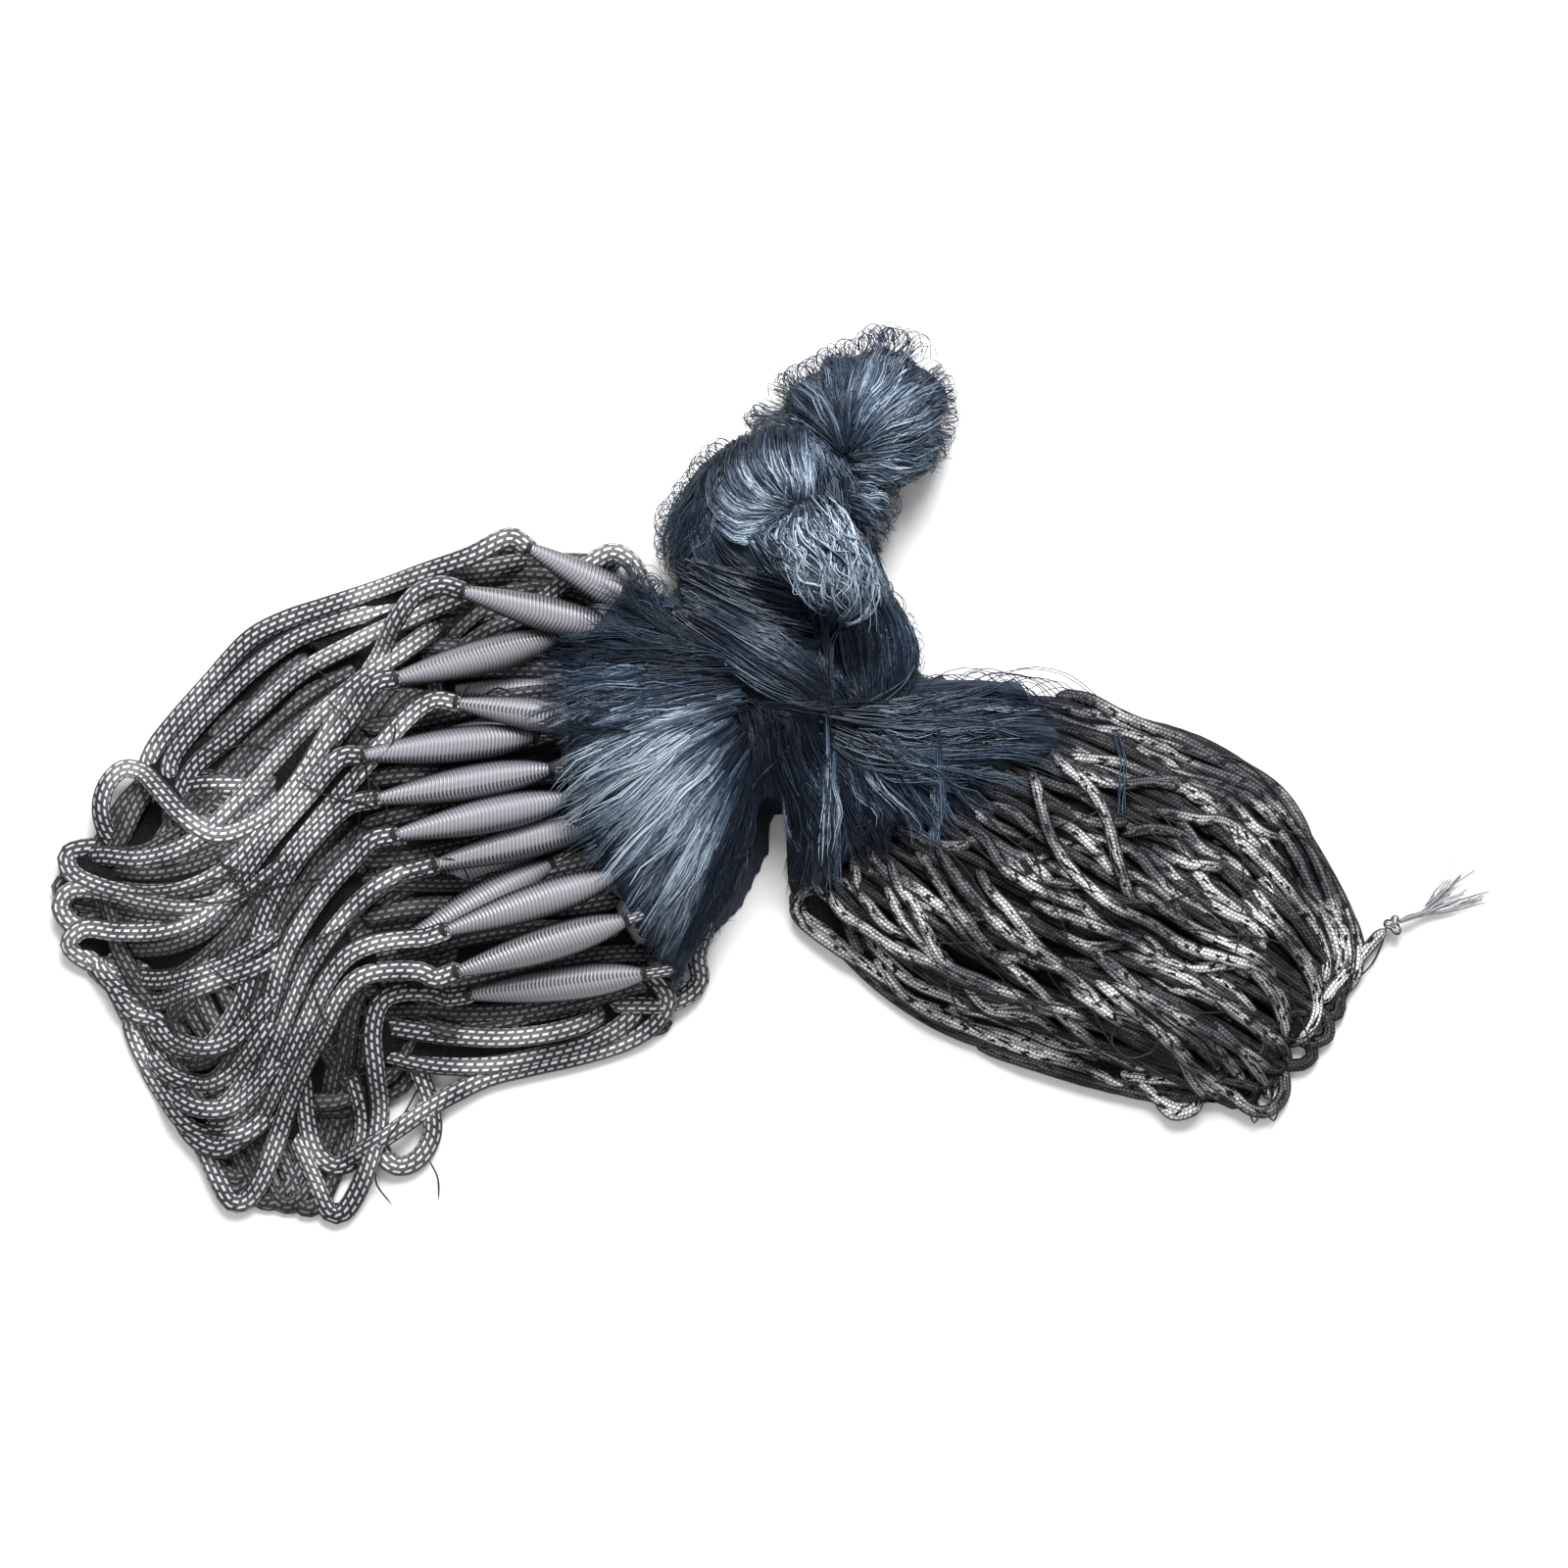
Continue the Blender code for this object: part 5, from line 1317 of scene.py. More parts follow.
strands = {
    "width": 0.56,
    "stations": 8,
    "each": (4, 7),
    "spread": 0.6,
    "wave": 0.35,
    "toneSpread": 0.17,
    "lowest": 0.3,
    "past": 12.0,               # how far ragged ends reach past an edge
    "early": 0.22,              # how much of its length a strand may lack
    "shortest": 0.2,            # a lock that covers less of the way is left out
    "climb": 3.5,
}
tangled = {**strands, "stations": 14, "each": (2, 3), "toneSpread": 0.26, "past": 0.0}
netFlows = [    # locks, painted highlight and shade along them, curl, ragged ends, lift and the edges they run by
    [(95, [0.15, 0.4, 0.5, 0.35], 1, 0.25, 2.2, [
      [47.5, 115.3, 37.4, 120.8, 24.6, 126.3, 15.4, 127.2], [48.4, 117.1, 36.5, 123.5, 23.6, 130,
      13.1, 131.8], [48.9, 118, 41.1, 130, 31.9, 140.1, 24.6, 146], [49.2, 118.2, 44.8, 131.8,
      40.2, 141.9, 35.6, 151.1], [49.4, 118.5, 48.4, 134.6, 50.3, 148.3, 51.2, 159.8], [49.5,
      118.5, 53, 134.6, 59.5, 150.2, 65, 163.5]]),
     (150, [0.2, 0.52, 0.66, 0.62, 0.55], 1.5, 0.34, 3, [
      [49.5, 118.5, 53, 134.6, 59.5, 150.2, 65, 163.5], [49.8, 118.2, 57.6, 131.8, 68.6, 146.5,
      79.7, 158.9], [50.3, 117.6, 62.2, 128.1, 76, 137.3, 89.3, 145.1], [50.7, 116.6, 65, 120.8,
      77.8, 126.3, 90.2, 130.9], [51.2, 115.3, 65, 115.3, 76, 115.3, 83.8, 116.2], [50.7, 112.5,
      59.5, 110.2, 66.8, 109.3, 73.2, 109.8]]),
     (60, [0.25, 0.5, 0.7, 0.4], 1.1, 0.3, 1.8, [
      [42.9, 112.5, 55.8, 110.2, 68.6, 107.9], [46.6, 107.9, 57.6, 105.2, 69.1, 102.4], [48.4,
      102.4, 57.6, 98.7, 67.3, 95.1], [49.4, 96.9, 55.8, 92.3, 62.7, 87.7], [49.4, 90.5, 53.9,
      85.9, 58.5, 82.7]]),
    ],
    [(150, [0.08, 0.26, 0.62, 0.9, 0.36], 0.5, 0.18, 1.8, [
      [35.6, 128.1, 36.5, 117.1, 37, 107.9, 36, 102.4], [24.6, 129.5, 25.5, 117.1, 29.1, 107.9,
      31.4, 101.3], [16.3, 128.6, 13.5, 116.2, 19.5, 105.2, 28.2, 99.5], [8, 122.6, 4.4, 110.7,
      10.3, 101, 20, 98.6, 27.5, 98], [1.6, 117.1, 0.2, 103.3, 7.6, 93.7, 17.2, 94.3, 27.5, 96.7],
      [-0.7, 109.8, -0.2, 95.1, 9.9, 85.9, 20.9, 88.6, 27.9, 95.5]]),
     (70, [0.08, 0.18, 0.3, 0.25, 0.1], 0.7, 0.3, 1.6, [
      [-0.2, 109.8, 0.2, 95.1, 7.1, 82.2, 16.3, 73.9], [-1.6, 111.6, -3.5, 96.9, -0.2, 82.2, 6.2,
      72.1], [-3.5, 107.9, -7.1, 96.9, -5.8, 84, -0.2, 73]]),
     (60, [0.35, 0.5, 0.35, 0.12], 0.8, 0.3, 1.6, [
      [10.8, 93.2, 15.4, 84, 22.7, 74.9, 31.9, 67.5], [17.2, 94.1, 22.7, 85.9, 28.2, 77.6, 35.6,
      67.5], [26.4, 94.1, 21.8, 85.9, 28.2, 73.9, 37.4, 64.8]]),
     (370, [0.45, 0.8, 0.75, 0.9, 0.6], 2.6, 0.8, 3.2, [
      [26.4, 94.1, 21.8, 85.9, 28.2, 73.9, 35.6, 65.7, 41.1, 60.2], [31.9, 98.7, 32.8, 88.6, 39.2,
      77.6, 44.8, 67.5, 49.4, 58.3], [37.4, 102.4, 42.9, 93.2, 48.4, 84, 53.9, 73, 54.9, 61.1,
      50.3, 53.7], [42.9, 104.3, 50.3, 96.9, 55.8, 85.9, 59.5, 74.9, 60.4, 62.9, 55.8, 52.8]]),
     (60, [0.3, 0.5, 0.6, 0.5], 1, 0.3, 1.4, [
      [42.9, 104.3, 50.3, 96.9, 56.7, 85.9, 59.9, 74.9, 61.7, 62.9], [50.3, 100.6, 57.6, 90.5,
      59.9, 79.5, 65.4, 67.5, 69.6, 61.1]]),
     (60, [0.25, 0.5, 0.45, 0.3], 1.2, 0.35, 1.6, [
      [31.9, 127.2, 37.4, 118.9, 40.2, 111.6, 41.1, 103.3], [35.6, 127.2, 42.9, 118.9, 46.6, 109.8,
      49.4, 99.7], [41.1, 126.3, 48.4, 115.3, 52.1, 106.1, 54.9, 95.1]]),
    ],
    [(65, [0.08, 0.25, 0.3, 0.2], 1.6, 0.35, 2.2, [
      [3.4, 118, -6.7, 110.7, -13.6, 98.7, -17.2, 81.3], [5.3, 115.3, -2.1, 100.6, -8, 90.5, -12.6,
      78.5], [5.3, 102.4, 0.7, 89.6, -4.8, 81.3, -7.6, 74.9]]),
     (90, [0.04, 0.1, 0.14, 0.08], 0.8, 0.3, 1.4, [
      [-6.7, 79.5, 4.4, 77.6, 16.3, 74.9, 30.1, 71.2], [-12.6, 79.5, 2.5, 70.3, 18.1, 63.8, 35.6,
      59.3], [-13.6, 71.2, 0.7, 64.8, 18.1, 56.5, 39.2, 51], [-13.6, 63.8, 0.7, 58.3, 18.1, 51,
      40.2, 44.6]]),
     (110, [0.05, 0.16, 0.42, 0.36, 0.1], 0.6, 0.25, 1.3, [
      [-10.3, 69.4, 7.1, 61.1, 22.7, 52.8, 33.7, 44.6, 41.1, 36.3], [-13.1, 62.9, 2.5, 54.7, 18.1,
      45.5, 31, 38.1, 41.5, 30.8], [-14, 57.4, -4.8, 48.2, 8.9, 38.1, 22.7, 29.9, 41.5, 25.3]]),
     (90, [0.08, 0.22, 0.22, 0.16, 0.08], 0.6, 0.25, 1.1, [
      [42, 52.8, 42, 42.7, 47.5, 33.5, 54.9, 24.8], [49.4, 53.7, 52.1, 43.6, 54.9, 34.5, 57.6,
      24.4], [57.6, 58.3, 60.4, 47.3, 60.8, 36.3, 59.9, 24.4]]),
     (75, [0.16, 0.34, 0.38, 0.22, 0.08], 0.6, 0.2, 1.1, [
      [57.6, 58.3, 61.3, 47.3, 61.7, 36.3, 60.4, 24.4], [63.1, 67.5, 68.6, 54.7, 69.1, 40, 64,
      25.3], [65, 69.4, 73.2, 56.5, 75.8, 44.6, 73.2, 34.5, 66.3, 25.3]]),
     (40, [0.03, 0.08, 0.12, 0.08], 0.4, 0.3, 0.8, [
      [31, 64.8, 34.7, 53.7, 39.2, 44.6, 41.5, 34.5], [39.2, 62.9, 41.1, 53.7, 42.5, 43.6, 42.9,
      28.9], [48.4, 56.5, 44.8, 49.1, 43.8, 40, 44.3, 27.1]]),
    ],
    [(110, [0.06, 0.18, 0.28, 0.32], 1.8, 0.62, 3.2, [
      [5.1, 45.4, -13.3, 58, -23.6, 69.5, -29.9, 80.4], [6.2, 44.2, -13.3, 52.3, -27.1, 59.2,
      -40.8, 67.2], [7.4, 43.1, -20.2, 47.1, -38.5, 48.8, -54.6, 47.7], [9.7, 39.7, -19, 39.4,
      -40.8, 38.5, -64.9, 38.5]]),
     (100, [0.08, 0.35, 0.62, 0.55], 1.6, 0.42, 3.2, [
      [9.7, 39.7, -19, 39.4, -40.8, 38.5, -64.9, 38.5], [12, 35.1, -13.3, 32.2, -35.1, 29.9, -54.6,
      25.9], [14.3, 30.5, -11, 24.2, -35.1, 16.7, -54.6, 5.2]]),
     (16, [0.15, 0.4, 0.55, 0.5], 1.8, 0.7, 4.6, [
      [-30.5, 32.2, -40.8, 30.7, -51.2, 29.1, -62.6, 27.9], [-29.4, 23.6, -39.7, 22.7, -50, 22.2,
      -60.3, 21.3], [-28.2, 14.4, -38.5, 15.5, -48.9, 16.1, -59.2, 14.4]]),
     (176, [0.1, 0.6, 0.9, 0.8, 0.65], 1.8, 0.45, 3.4, [
      [14.3, 30.5, -11, 24.2, -35.1, 16.7, -54.6, 5.2], [14.3, 25.9, -9.8, 15, -32.8, 0.6, -54.6,
      -13.2], [14.3, 21.3, -4.1, 5.2, -23.6, -14.3, -44.3, -31.5], [14.3, 16.7, 0.5, -1.7, -14.4,
      -21.2, -32.8, -40.7]]),
     (140, [0.1, 0.5, 0.8, 0.75, 0.6], 1.4, 0.42, 2.8, [
      [14.3, 16.7, 0.5, -1.7, -14.4, -21.2, -32.8, -40.7], [14.8, 11, 3.4, -8.6, -8.7, -31.5,
      -25.9, -57.9], [14.8, 5.2, 6.8, -14.3, -3, -37.3, -15.6, -66]]),
     (100, [0.06, 0.22, 0.28, 0.28], 1.4, 0.4, 1.8, [
      [14.8, 5.2, 6.8, -14.3, -3, -37.3, -15.6, -66], [15.4, -1.7, 12, -18.9, 3.9, -40.7, -7.5,
      -67.1], [16, -4, 15.4, -18.9, 12, -29.2, 6.2, -43]]),
    ],
    [(130, [0.1, 0.3, 0.44, 0.4], 2, 0.62, 2.8, [
      [44.1, 26.5, 64.8, 27.6, 87.7, 29.9, 108.4, 32.2, 127.3, 29.9], [43, 24.2, 64.8, 23.6, 88.9,
      23.6, 111.8, 24.7, 132.5, 22.4], [40.7, 21.3, 62.5, 17.8, 86.6, 16.7, 110.7, 16.7, 134.2,
      12.7], [38.4, 19, 59, 11, 80.9, 7.5, 103.8, 6.4, 126.8, 1.8], [36.1, 17.8, 53.3, 5.2, 72.8,
      -1.7, 93.5, -2.2, 107.3, -4]]),
     (125, [0.08, 0.3, 0.44, 0.42], 2, 0.56, 2.6, [
      [21.2, 23.6, 24, 5.2, 29.2, -13.2, 32.6, -31.5], [30.3, 23.6, 34.9, 4.1, 41.8, -16.6, 45.3,
      -33.8], [38.4, 21.3, 47.6, 2.9, 56.7, -13.2, 62.5, -25.8], [47.6, 20.1, 60.2, 2.9, 70.5,
      -9.7, 78.6, -22.3], [56.7, 20.1, 70.5, 5.2, 83.1, -5.1, 93.5, -15.4], [67.1, 19, 82, 7.5,
      94.6, 0.6, 108.4, -8.6]]),
     (24, [0.15, 0.42, 0.7, 0.75, 0.65], 1, 0.5, 3, [
      [42.4, 24.7, 41.8, 5.2, 41.8, -13.2, 40.1, -33.8], [44.7, 24.7, 45.8, 5.2, 47.8, -13.2, 47.6,
      -40.7]]),
     (8, [0.25, 0.55, 0.7, 0.65], 1, 0.5, 3, [
      [81.1, 19, 81.1, 5.2, 82, -8.6, 81.4, -22.3], [83.4, 19, 85.2, 5.2, 86.4, -6.3, 84.9,
      -22.3]]),
     (60, [0.08, 0.18, 0.15, 0.1], 0.6, 0.3, 1.6, [
      [20, 21.3, 25.7, 0.6, 31.5, -17.7, 29, -37.3], [23.5, 21.3, 31.5, -1.7, 36.1, -22.3, 32.6,
      -43.6], [28, 21.3, 38.4, -4, 44.1, -22.3, 44.1, -40.7]]),
     (70, [0.08, 0.14, 0.1], 0.8, 0.3, 1.2, [
      [8.5, 28.2, 14.3, 14.4, 14.3, 0.6, 14.3, -9.7], [15.4, 27, 18.9, 12.1, 20, 0.6, 21.2, -4],
      [23.5, 24.7, 25.7, 12.1, 29.2, 0.6, 32.1, -9.7]]),
     (40, [0.03, 0.08, 0.1, 0.06], 0.6, 0.3, 1.4, [
      [-9.8, 47.7, 2.8, 39.7, 9.7, 30.5, 14.3, 23.6], [5.1, 43.1, 14.3, 31.6, 23.5, 25.9, 32.6,
      23.6], [14.3, 35.1, 28, 29.3, 39.5, 27, 48.7, 24.7]]),
    ],
]


def settleHeights(heights, rise):
    # hair that has dropped over an edge stays down
    peak = int(np.argmax(heights))
    for way in (1, -1):
        k = peak + way
        while 0 <= k < len(heights):
            heights[k] = min(heights[k], heights[k - way] + rise)
            k += way
    return heights


def taperedStrand(finest, widest, t):
    return dice.uniform(finest, widest) * np.minimum(1.0, 0.12 + 3 * (1 - t))


def makeYarn(name, routes, width, sides, radii, shades):
    piece = sweepRoutes(name, routes, width, sides=sides, radii=radii, shades=shades)
    finishPiece(piece, yarnFinish, ["netting"])
    print(name, len(routes), "strands")


def makeLock(first, second, share, start, end, curl, count):
    # the middle line of a lock, between two edges of its strip, in plan
    path = first * (1 - share) + second * share
    whole = np.linspace(0, 1, len(path))
    wanted = np.linspace(start, end, count)
    spots = np.stack([np.interp(wanted, whole, path[:, k]) for k in (0, 1)], 1)
    along = np.gradient(spots, axis=0)
    across = np.stack([-along[:, 1], along[:, 0]], 1)
    across /= np.linalg.norm(across, axis=1)[:, None] + 1e-9
    t = np.linspace(0, 1, count)
    sway = np.sin(dice.uniform(0, 6.3) + dice.uniform(4, 11) * t) * (0.3 + t)
    return spots + across * (sway * curl * mm)[:, None], across


def makeEdge(hair, edge, ragged):
    # an edge of a strip; hair carries on a little past its end
    x, y, u, v = edge[-4:]
    past = hair["past"] * ragged / math.hypot(u - x, v - y)
    return evenRoute(planRoute([*edge, u + (u - x) * past, v + (v - y) * past], 3 * mm), 33)


def makeStrand(hair, base, across, rise, t):
    aside = dice.gauss(0, hair["spread"]) * (0.5 + 1.5 * t)
    aside += dice.gauss(0, hair["wave"]) * np.sin(dice.uniform(0, 6.3) + dice.uniform(3, 9) * t)
    path = base + 0
    path[:, :2] += across * (aside * mm)[:, None]
    up = rise + dice.uniform(-0.5, 0.5) + 0.4 * np.sin(dice.uniform(0, 6.3) + 7 * t)
    path[:, 2] = np.maximum(path[:, 2] + up * mm, hair["lowest"] * mm)
    ends = t * (1 - hair["early"] * dice.random() ** 2)
    return np.stack([np.interp(ends, t, path[:, k]) for k in range(3)], 1)


def makeFlows(name, flows):
    routes, radii, shades = [], [], []
    for locks, tones, curl, ragged, lift, edges in flows:
        hair = tangled if curl > 2 else strands
        t = np.linspace(0, 1, hair["stations"])
        lines = [makeEdge(hair, edge, ragged) for edge in edges]
        strips = list(zip(lines, lines[1:]))
        for n in range(locks):
            first, second = strips[n % len(strips)]
            start = dice.uniform(0, ragged * 0.7)
            end = 1 - dice.uniform(-0.06, ragged)
            if end - start < hair["shortest"]:
                continue
            middle, across = makeLock(first, second, dice.random(), start, end, curl,
                                      hair["stations"])
            base = arrayOf(drapeRoute(allTree, middle, 0.0, hair["lowest"] * mm, 1))
            base[:, 2] = settleHeights(base[:, 2], hair["climb"] * mm)
            rise = dice.uniform(0.0, lift)
            tone = dice.gauss(0, hair["toneSpread"])
            # painted highlight and shade along the lock, plus a random tone for each lock
            here = np.interp(start + (end - start) * t, np.linspace(0, 1, len(tones)), tones)
            for _ in range(dice.randint(*hair["each"])):
                routes.append(makeStrand(hair, base, across, rise, t))
                radii.append(taperedStrand(0.7, 1.3, t))
                shades.append(np.clip(here + tone + dice.gauss(0, 0.09), 0.02, 0.98))
    makeYarn(name, routes, strands["width"], 3, radii, shades)


for number, group in enumerate(netFlows, start=1):
    makeFlows(f"netting_strands_{number}", group)


rimHair = {
    "tries": 5200,
    "locks": 260,
    "reach": 6,
    "each": 3,
    "box": (-42, 120, -92, 168),
    "stations": 8,
    "lowest": 9,                # the netting's height where a lock may begin
    "floored": 1.2,
    "climb": 2,
    "aside": 2.4,
    "splay": 5,
    "tones": (0.06, 0.4),
    "skip": [(12, 38, -999, -8), (62, 999, -999, 64)],  # the notch, and the fan by the lead line
}


def wayDown(setup, x, y):
    # the way out and down from a spot by the rim, if it is by one
    falls = []
    for k in range(12):
        turn = math.pi * k / 6
        ahead = Vector((math.cos(turn), math.sin(turn)))
        end = Vector((x, y)) + ahead * setup["reach"] * mm
        if topHeight(allTree, end.x, end.y) < 1 * mm:
            falls.append(ahead)
    ahead = sum(falls, Vector((0, 0)))
    return ahead.normalized() if 1 <= len(falls) <= 6 and ahead.length >= 0.3 else None


def hangStrand(setup, x, y, ahead, t):
    aside = dice.gauss(0, setup["aside"]) + dice.gauss(0, setup["splay"]) * t**2
    plan = np.array([x, y]) + np.outer(t * setup["reach"] * mm, np.array(ahead))
    plan = plan + np.array([-ahead.y, ahead.x]) * (aside * mm)[:, None]
    path = arrayOf(drapeRoute(nettingTree, plan, 0.5 * mm, 0.4 * mm, 0))
    path[:, 2] = settleHeights(path[:, 2], setup["climb"] * mm)
    floored = np.flatnonzero(path[:, 2] < setup["floored"] * mm)
    return path[:floored[0] + 1] if len(floored) else path  # it stops where it meets the floor


def makeRimHair(setup):
    # locks that hang down the netting's outer flanks
    routes, radii, shades = [], [], []
    t = np.linspace(0, 1, setup["stations"])
    left, right, low, high = setup["box"]
    locks = 0
    for _ in range(setup["tries"]):
        x, y = dice.uniform(left, right) * mm, dice.uniform(low, high) * mm
        skip = any(a * mm < x < b * mm and c * mm < y < d * mm for a, b, c, d in setup["skip"])
        if (skip or locks >= setup["locks"]
                or topHeight(nettingTree, x, y) < setup["lowest"] * mm):
            continue
        ahead = wayDown(setup, x, y)
        if not ahead:
            continue
        locks += 1
        tone = dice.uniform(*setup["tones"])
        for _ in range(setup["each"]):
            path = hangStrand(setup, x, y, ahead, t)
            if len(path) < 4:
                continue
            routes.append(evenRoute(path, setup["stations"]))
            radii.append(taperedStrand(0.7, 1.2, t))
            shades.append(np.clip(tone + dice.gauss(0, 0.08) + 0.1 * (1 - t), 0.02, 0.9))
    makeYarn("netting_rim_strands", routes, strands["width"], 3, radii, shades)


makeRimHair(rimHair)


# ties, fuzz and loose threads

ties = {"width": 0.6, "stations": 22, "each": 3, "tuck": 2}
tieRoutes = [                   # yarns that bind the skein and lie loose on it
    [3.4, 42.5, 8.5, 35.1, 15.4, 27.6, 28, 26.3, 43, 26.1],
    [76.3, 47.1, 74.9, 39.7, 67.1, 32.8, 55.6, 26.8, 43, 24.5, 44.7, 19],
    [29.2, 11.5, 21.2, 2.9, 14.3, -5.7],
    [72.3, 58.3, 76.2, 45.5, 72.3, 35.4, 64, 28, 55.8, 24.4],
    [4.4, 43.6, 8.9, 35.4, 15.4, 28, 28.2, 27.1, 41.1, 27.1],
    [33.7, 80.4, 42.9, 81.3, 50.3, 85],
    [42.9, 107.9, 46.6, 111.6, 50.3, 114.4],
    [35.6, 98.7, 30.1, 90.5, 22.7, 81.3, 20.9, 78.5],
    [148.4, 16.6, 151, 6.3, 149.9, -2.9, 148.7, -14.4],
    [150.4, 16.6, 152.2, 6.3, 151.6, -4.1, 151, -14.4],
]
fuzz = {
    "width": 0.42,
    "stations": 10,
    "in": 5,
    "large": 6,
    "highest": (0.45, 0.98),
    "open": 0.12,               # the share of loops with a free end
}
fuzzEdges = [                   # loops, their size and the edge they stand out from
    (150, 3.2, [13.1, 130.4, 17.2, 135.5, 24.6, 143.7, 28.2, 147.2, 35.6, 150.2, 41.1, 154.6, 49.4,
     158.3, 55.8, 161.9, 65, 163.8, 76, 160.1, 80.6, 155.7]),
    (50, 4.2, [49.4, 157.1, 55.8, 160.3, 65, 161.9, 76, 158.9, 80.6, 154.8]),
    (60, 1.8, [80.6, 155.7, 85.2, 149.3, 89, 140.1, 89.6, 130, 84.2, 117.1, 76.9, 111.6, 68.6,
     108.7]),
    (50, 2.2, [68.6, 107.9, 67.5, 98.7, 62.7, 88.6, 58.5, 83.6]),
    (90, 3, [3.4, 121.2, -3, 115.3, -8.5, 107, -14, 100.6, -17.5, 90.5, -16.6, 80.4, -12.4, 74.9]),
    (30, 2.6, [59.9, 74.9, 65.9, 66.6, 72.3, 58.3, 75.5, 47.3, 74.1, 36.3]),
    (44, 9.5, [69.4, 25.4, 78.6, 27.3, 90, 28.6, 103.8, 29.9, 113, 29.9, 121, 27.9]),
    (30, 3, [-31.6, 76.4, -24.8, 75.2, -21.3, 71.8, -14.4, 67.2]),
    (24, 3, [15.4, -4, 14.3, -17.7, 10.8, -29.2, 5.1, -43]),
]
threadRoutes = [                # thin black thread that strays over both lines
    [185.6, 8.7, 200.4, 4, 217.6, -18, 227.7, -32.7, 234.9, -51.1, 237.1, -69.5, 231.3, -87.8],
    [193.5, -16.9, 195.7, -38.5, 192.1, -65.5],
    [198.2, -120.6, 201.1, -127.8, 204.3, -123.1, 208.3, -127.1, 210.8, -121.3],
    [249.7, -59.7, 245, -69.1, 237.8, -75.9],
    [181.4, 7.4, 189.5, 8, 199.8, 4, 207.8, -5.2],
    [218.2, -21.3, 228.5, -32.8, 235.4, -46.5, 238.8, -60.3, 235.4, -81, 223.9, -94.8],
    [183.7, -13.3, 198.7, -16.1, 211.3, -19, 220.5, -23.6, 227.4, -32.8],
    [149.3, -89, 147.6, -97.1, 153.9, -102.8, 162.5, -99.9, 163.6, -92.5, 157.3, -86.7],
    [210.1, -94.8, 215.9, -97.1, 222.8, -93.6, 229.7, -84.4, 235.4, -74.1],
    [212.4, -74.1, 215.9, -85.6, 220.5, -94.8, 222.8, -102.8],
    [106.8, -61.5, 104.5, -67.2, 109.1, -68.4, 117.2, -64.9, 118.3, -58],
    [86.2, -69.5, 88.5, -78.7, 93, -89, 102.2, -95.9],
    [-146.3, -116.7, -143.1, -125.2, -137.9, -129.4, -133.6, -126.2, -128.3, -118.8],
    [-137.9, -97.7, -134.7, -104, -128.3, -113.5],
    [-144.2, -137.8, -137.9, -133.6, -129.4, -122],
    [-119.9, -134.7, -113.6, -125.2, -106.2, -111.4],
    [-141, -105.1, -133.6, -110.4, -121, -107.2, -105.1, -109.3, -88.2, -110.4],
    [-123.1, -142, -123.6, -150.5, -117.8, -158.9],
    [-104.6, -141, -101.1, -148.4, -100.7, -156.8],
    [-213.9, -39.6, -194.9, -43.9, -180.1, -46, -165.3, -41.8, -152.6, -37.5],
    [-103.3, 60.7, -104, 54.1, -101.1, 51.9, -96.7, 57, -90.1, 61.4],
    [-113.6, 40.1, -106.2, 39.4, -99.6, 45.3, -90.1, 49.7],
    [-84.2, 29.8, -77.6, 32.8, -72.4, 29.8, -70.2, 25.4],
    [-87.9, 34.2, -91.5, 28.4, -94.5, 19.5, -103.3, 17.3],
    [-72.4, 35.7, -73.2, 40.1, -68.8, 42.3, -63.6, 40.8],
    [-53.3, -6.2, -54.4, -11.3, -51.1, -16.5, -44.5, -17.9],
    [-114.3, -21.6, -113.6, -28.9, -109.9, -33.4],
    [-98.1, -29.7, -93, -30.4, -89.3, -34.8, -87.9, -40.7],
    [-61.4, 1.2, -57.7, 4.1, -52.6, 5.6, -46.7, 6.3],
    [-123.9, -0.3, -118.7, -7.6, -118, -13.5, -121.6, -17.2],
]
threadWidth = 0.72
wanderers = [                   # count, box, heading, its change, knots, heap, height and lift
    (26, (-225, -110, -120, 55), None, 0.7, 5, heapRows, 6, 0.1),
    (34, (70, 190, -100, 5), (-0.55, 0.35), 0.3, 6, leadHeap, 8, 0.2),
]

ropeNames = [piece.name for piece in bpy.data.objects if piece.name.startswith(
    ("covered_float", "float_line", "lead_line_runs", "lead_line_upper"))]
ropeTree = nodeTree(["netting", "lead_line", *ropeNames])


def makeTies(setup):
    routes, radii, shades = [], [], []
    count = setup["stations"]
    for numbers in tieRoutes:
        path = evenRoute(planRoute(numbers, 2 * mm), count)
        for _ in range(setup["each"]):
            wave = dice.uniform(0, 6)
            moved = path + 0
            moved[:, 0] += np.sin(wave + np.linspace(0, 7, count)) * 0.5 * mm
            moved[:, 1] += np.cos(wave + np.linspace(0, 6, count)) * 0.5 * mm
            run = drapeRoute(ropeTree, moved, dice.uniform(1.6, 2.8) * mm, 0.5 * mm, 2)
            for spot in (run[0], run[-1]):
                spot.z -= setup["tuck"] * mm
            routes.append(run)
            radii.append([0.7] * count)
            shades.append([dice.uniform(0.2, 0.65)] * count)
    makeYarn("netting_ties", routes, setup["width"], 4, radii, shades)


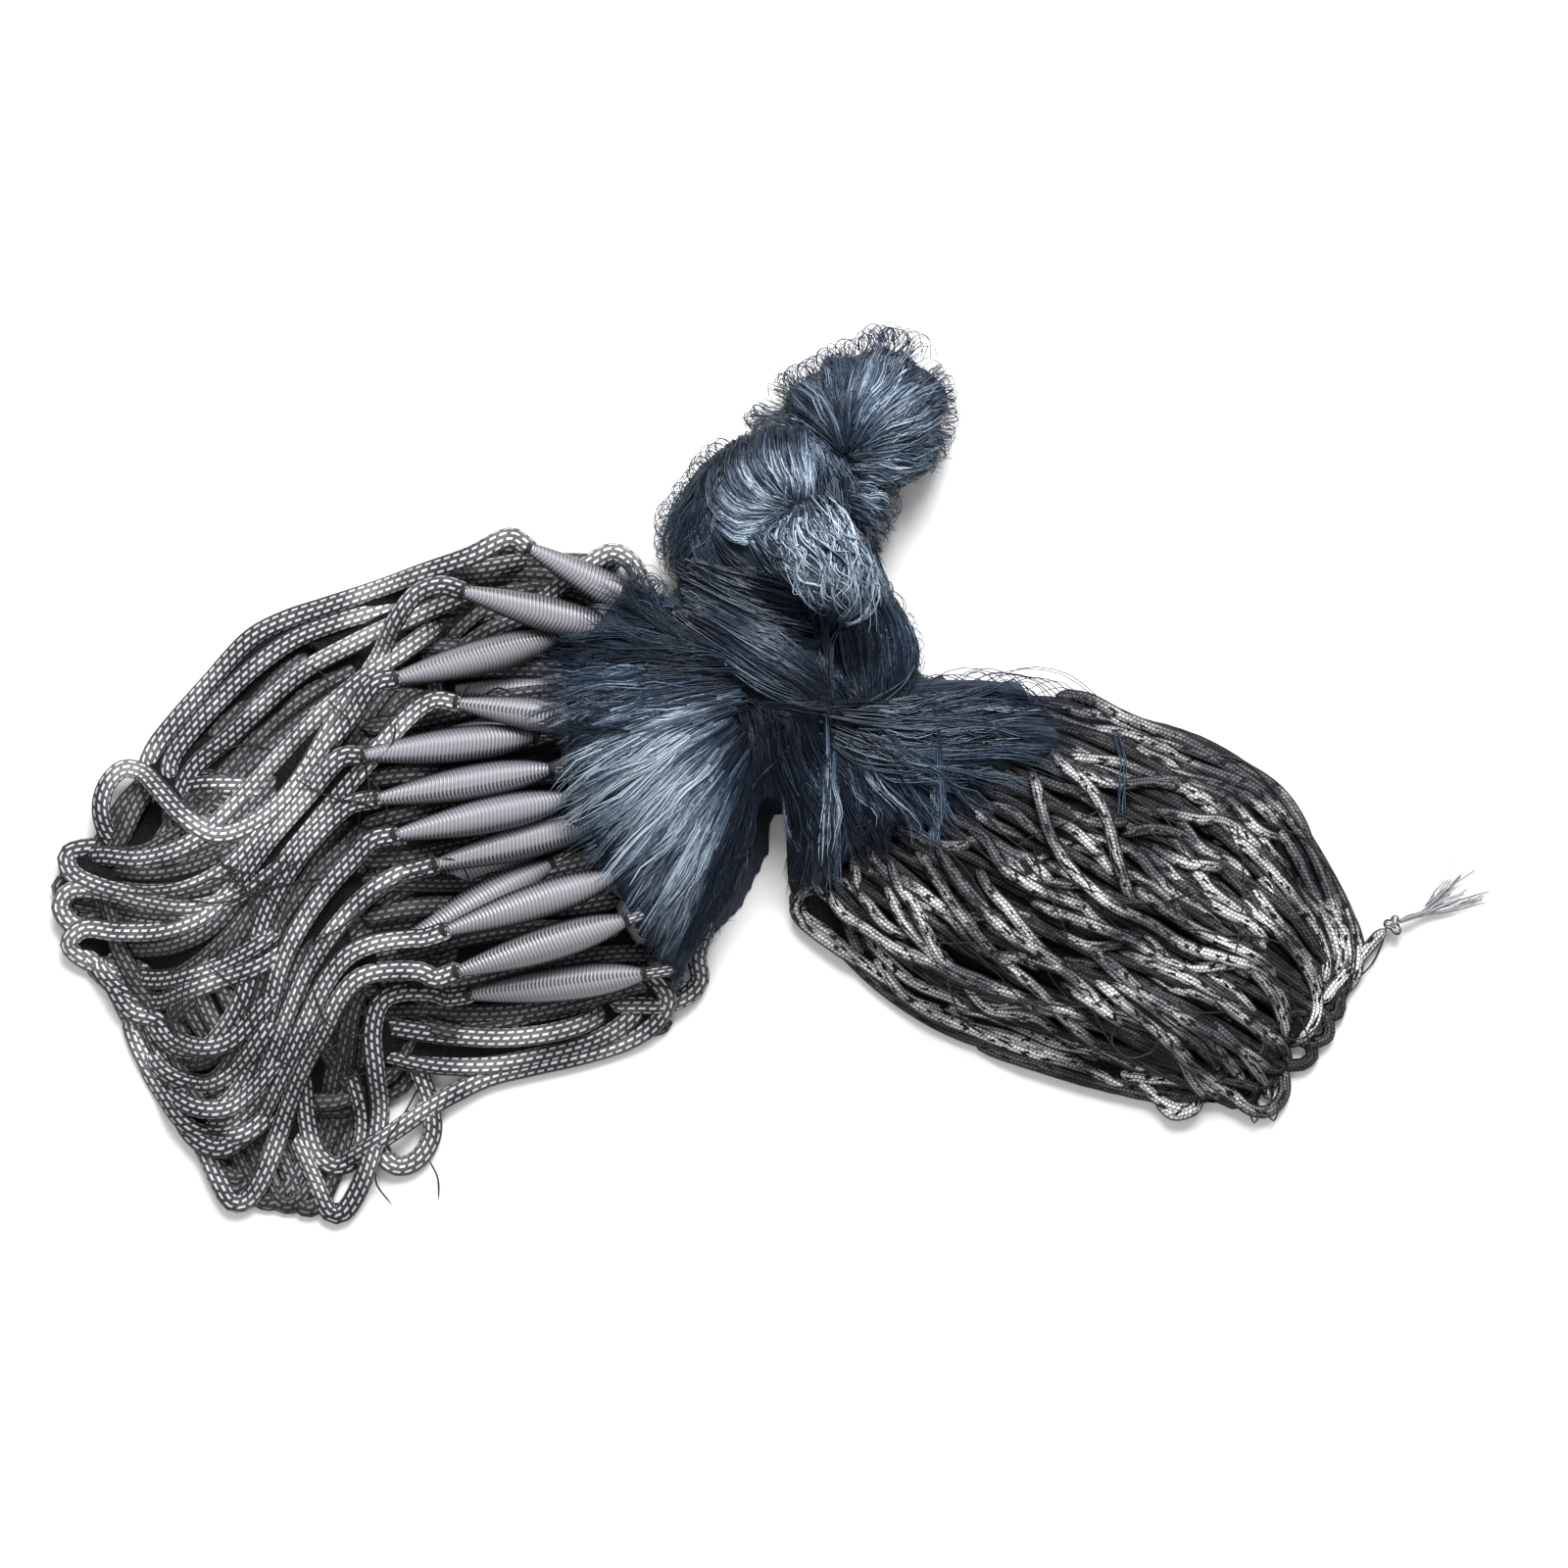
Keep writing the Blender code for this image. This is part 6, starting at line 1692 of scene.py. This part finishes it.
def makeFuzz(setup):
    routes, radii, shades = [], [], []
    for count, size, numbers in fuzzEdges:
        edge = evenRoute(planRoute(numbers, 2 * mm), 80)
        large = size > setup["large"]
        for _ in range(count):
            k = dice.randint(1, 78)
            spot = Vector(edge[k])
            along = Vector(edge[k + 1]) - Vector(edge[k - 1])
            along.normalize()
            out = Vector((along.y, -along.x, 0))
            hit, other = (topHeight(allTree, *(spot + out * way * setup["in"] * mm).xy)
                          for way in (-1, 1))
            if hit < other:
                out, hit = -out, other
            if hit < 6 * mm:
                continue
            reach = size * dice.uniform(0.2, 1.15) * mm
            side = dice.choice((-1, 1)) * dice.uniform(0.8, 3.4 if large else 2.6) * reach
            height = max(hit * dice.uniform(*setup["highest"]), 1.0 * mm)
            knots = [spot - out * 4 * mm - along * side * 0.3,
                     spot + out * reach * 0.5 + along * side * 0.1,
                     spot + out * reach + along * side * 0.6,
                     spot + out * reach * 0.6 + along * side * 1.15,
                     spot - out * 3 * mm + along * side * 1.5]
            for knot in knots:
                knot.z = max(0.4 * mm, height + dice.uniform(-1, 1) * mm)
            if dice.random() < setup["open"]:
                knots = knots[:3]
            routes.append(evenRoute(smoothRoute(knots, 1 * mm), setup["stations"]))
            radii.append([dice.uniform(0.6, 1.0) * (1.45 if large else 1)] * setup["stations"])
            shades.append([dice.uniform(0.12, 0.6)] * setup["stations"])
    makeYarn("netting_fuzz", routes, setup["width"], 3, radii, shades)


def makeThreads():
    routes = [drapeRoute(ropeTree, planRoute(numbers, 2 * mm), 0.4 * mm, 0.4 * mm, 4)
              for numbers in threadRoutes]
    for count, box, heading, change, length, heap, height, lift in wanderers:
        for _ in range(count):
            x, y = dice.uniform(*box[:2]), dice.uniform(*box[2:])
            turn = dice.gauss(*heading) if heading else dice.uniform(0, 6.3)
            knots = []
            for _ in range(length):
                knots += [x, y]
                turn += dice.uniform(-change, change)
                x, y = x + 8 * math.cos(turn), y + 8 * math.sin(turn)
            if all(heapHeight(heap, a * mm, b * mm) > height * mm
                   for a, b in zip(knots[::2], knots[1::2])):
                routes.append(drapeRoute(ropeTree, planRoute(knots, 2 * mm), lift * mm,
                                         0.4 * mm, 3))
    piece = sweepRoutes("loose_black_threads", routes, threadWidth, sides=4)
    finishPiece(piece, twineFinish)


makeTies(ties)
makeFuzz(fuzz)
makeThreads()
print("ties, fuzz and threads made")


# floor and light

lightSetup = {
    "key": ((0.2, 1.2, 1.25), 1.0, 56.0),
    "fill": ((-0.7, -0.5, 1.7), 1.6, 7.0),
    "world": 0.46,
}


def makeFloor():
    deselectAll()
    bpy.ops.mesh.primitive_plane_add(size=6, location=(0, 0, -0.4 * mm))
    floor = bpy.context.object
    floor.name = "floor"
    look = Look("pale_floor", 0.9)
    look.fill("Base Color", look.ramp(look.noise(look.place, 3.0), [(0.3, (0.93, 0.93, 0.93)),
                                                                    (0.7, (0.96, 0.96, 0.96))]))
    floor.data.materials.append(look.material)


def makeLights(setup):
    for name in ("key", "fill"):
        place, size, power = setup[name]
        data = bpy.data.lights.new(name, "AREA")
        data.size = size
        data.energy = power
        lamp = addObject(name, data)
        lamp.location = place
        lamp.rotation_euler = (-Vector(place)).to_track_quat("-Z", "Y").to_euler()
    world = bpy.data.worlds.new("studio")
    world.use_nodes = True
    background = world.node_tree.nodes["Background"].inputs
    background[0].default_value = (1, 1, 1, 1)
    background[1].default_value = setup["world"]
    bpy.context.scene.world = world
    bpy.context.scene.view_settings.view_transform = "Standard"


makeFloor()
makeLights(lightSetup)
print("stage made")
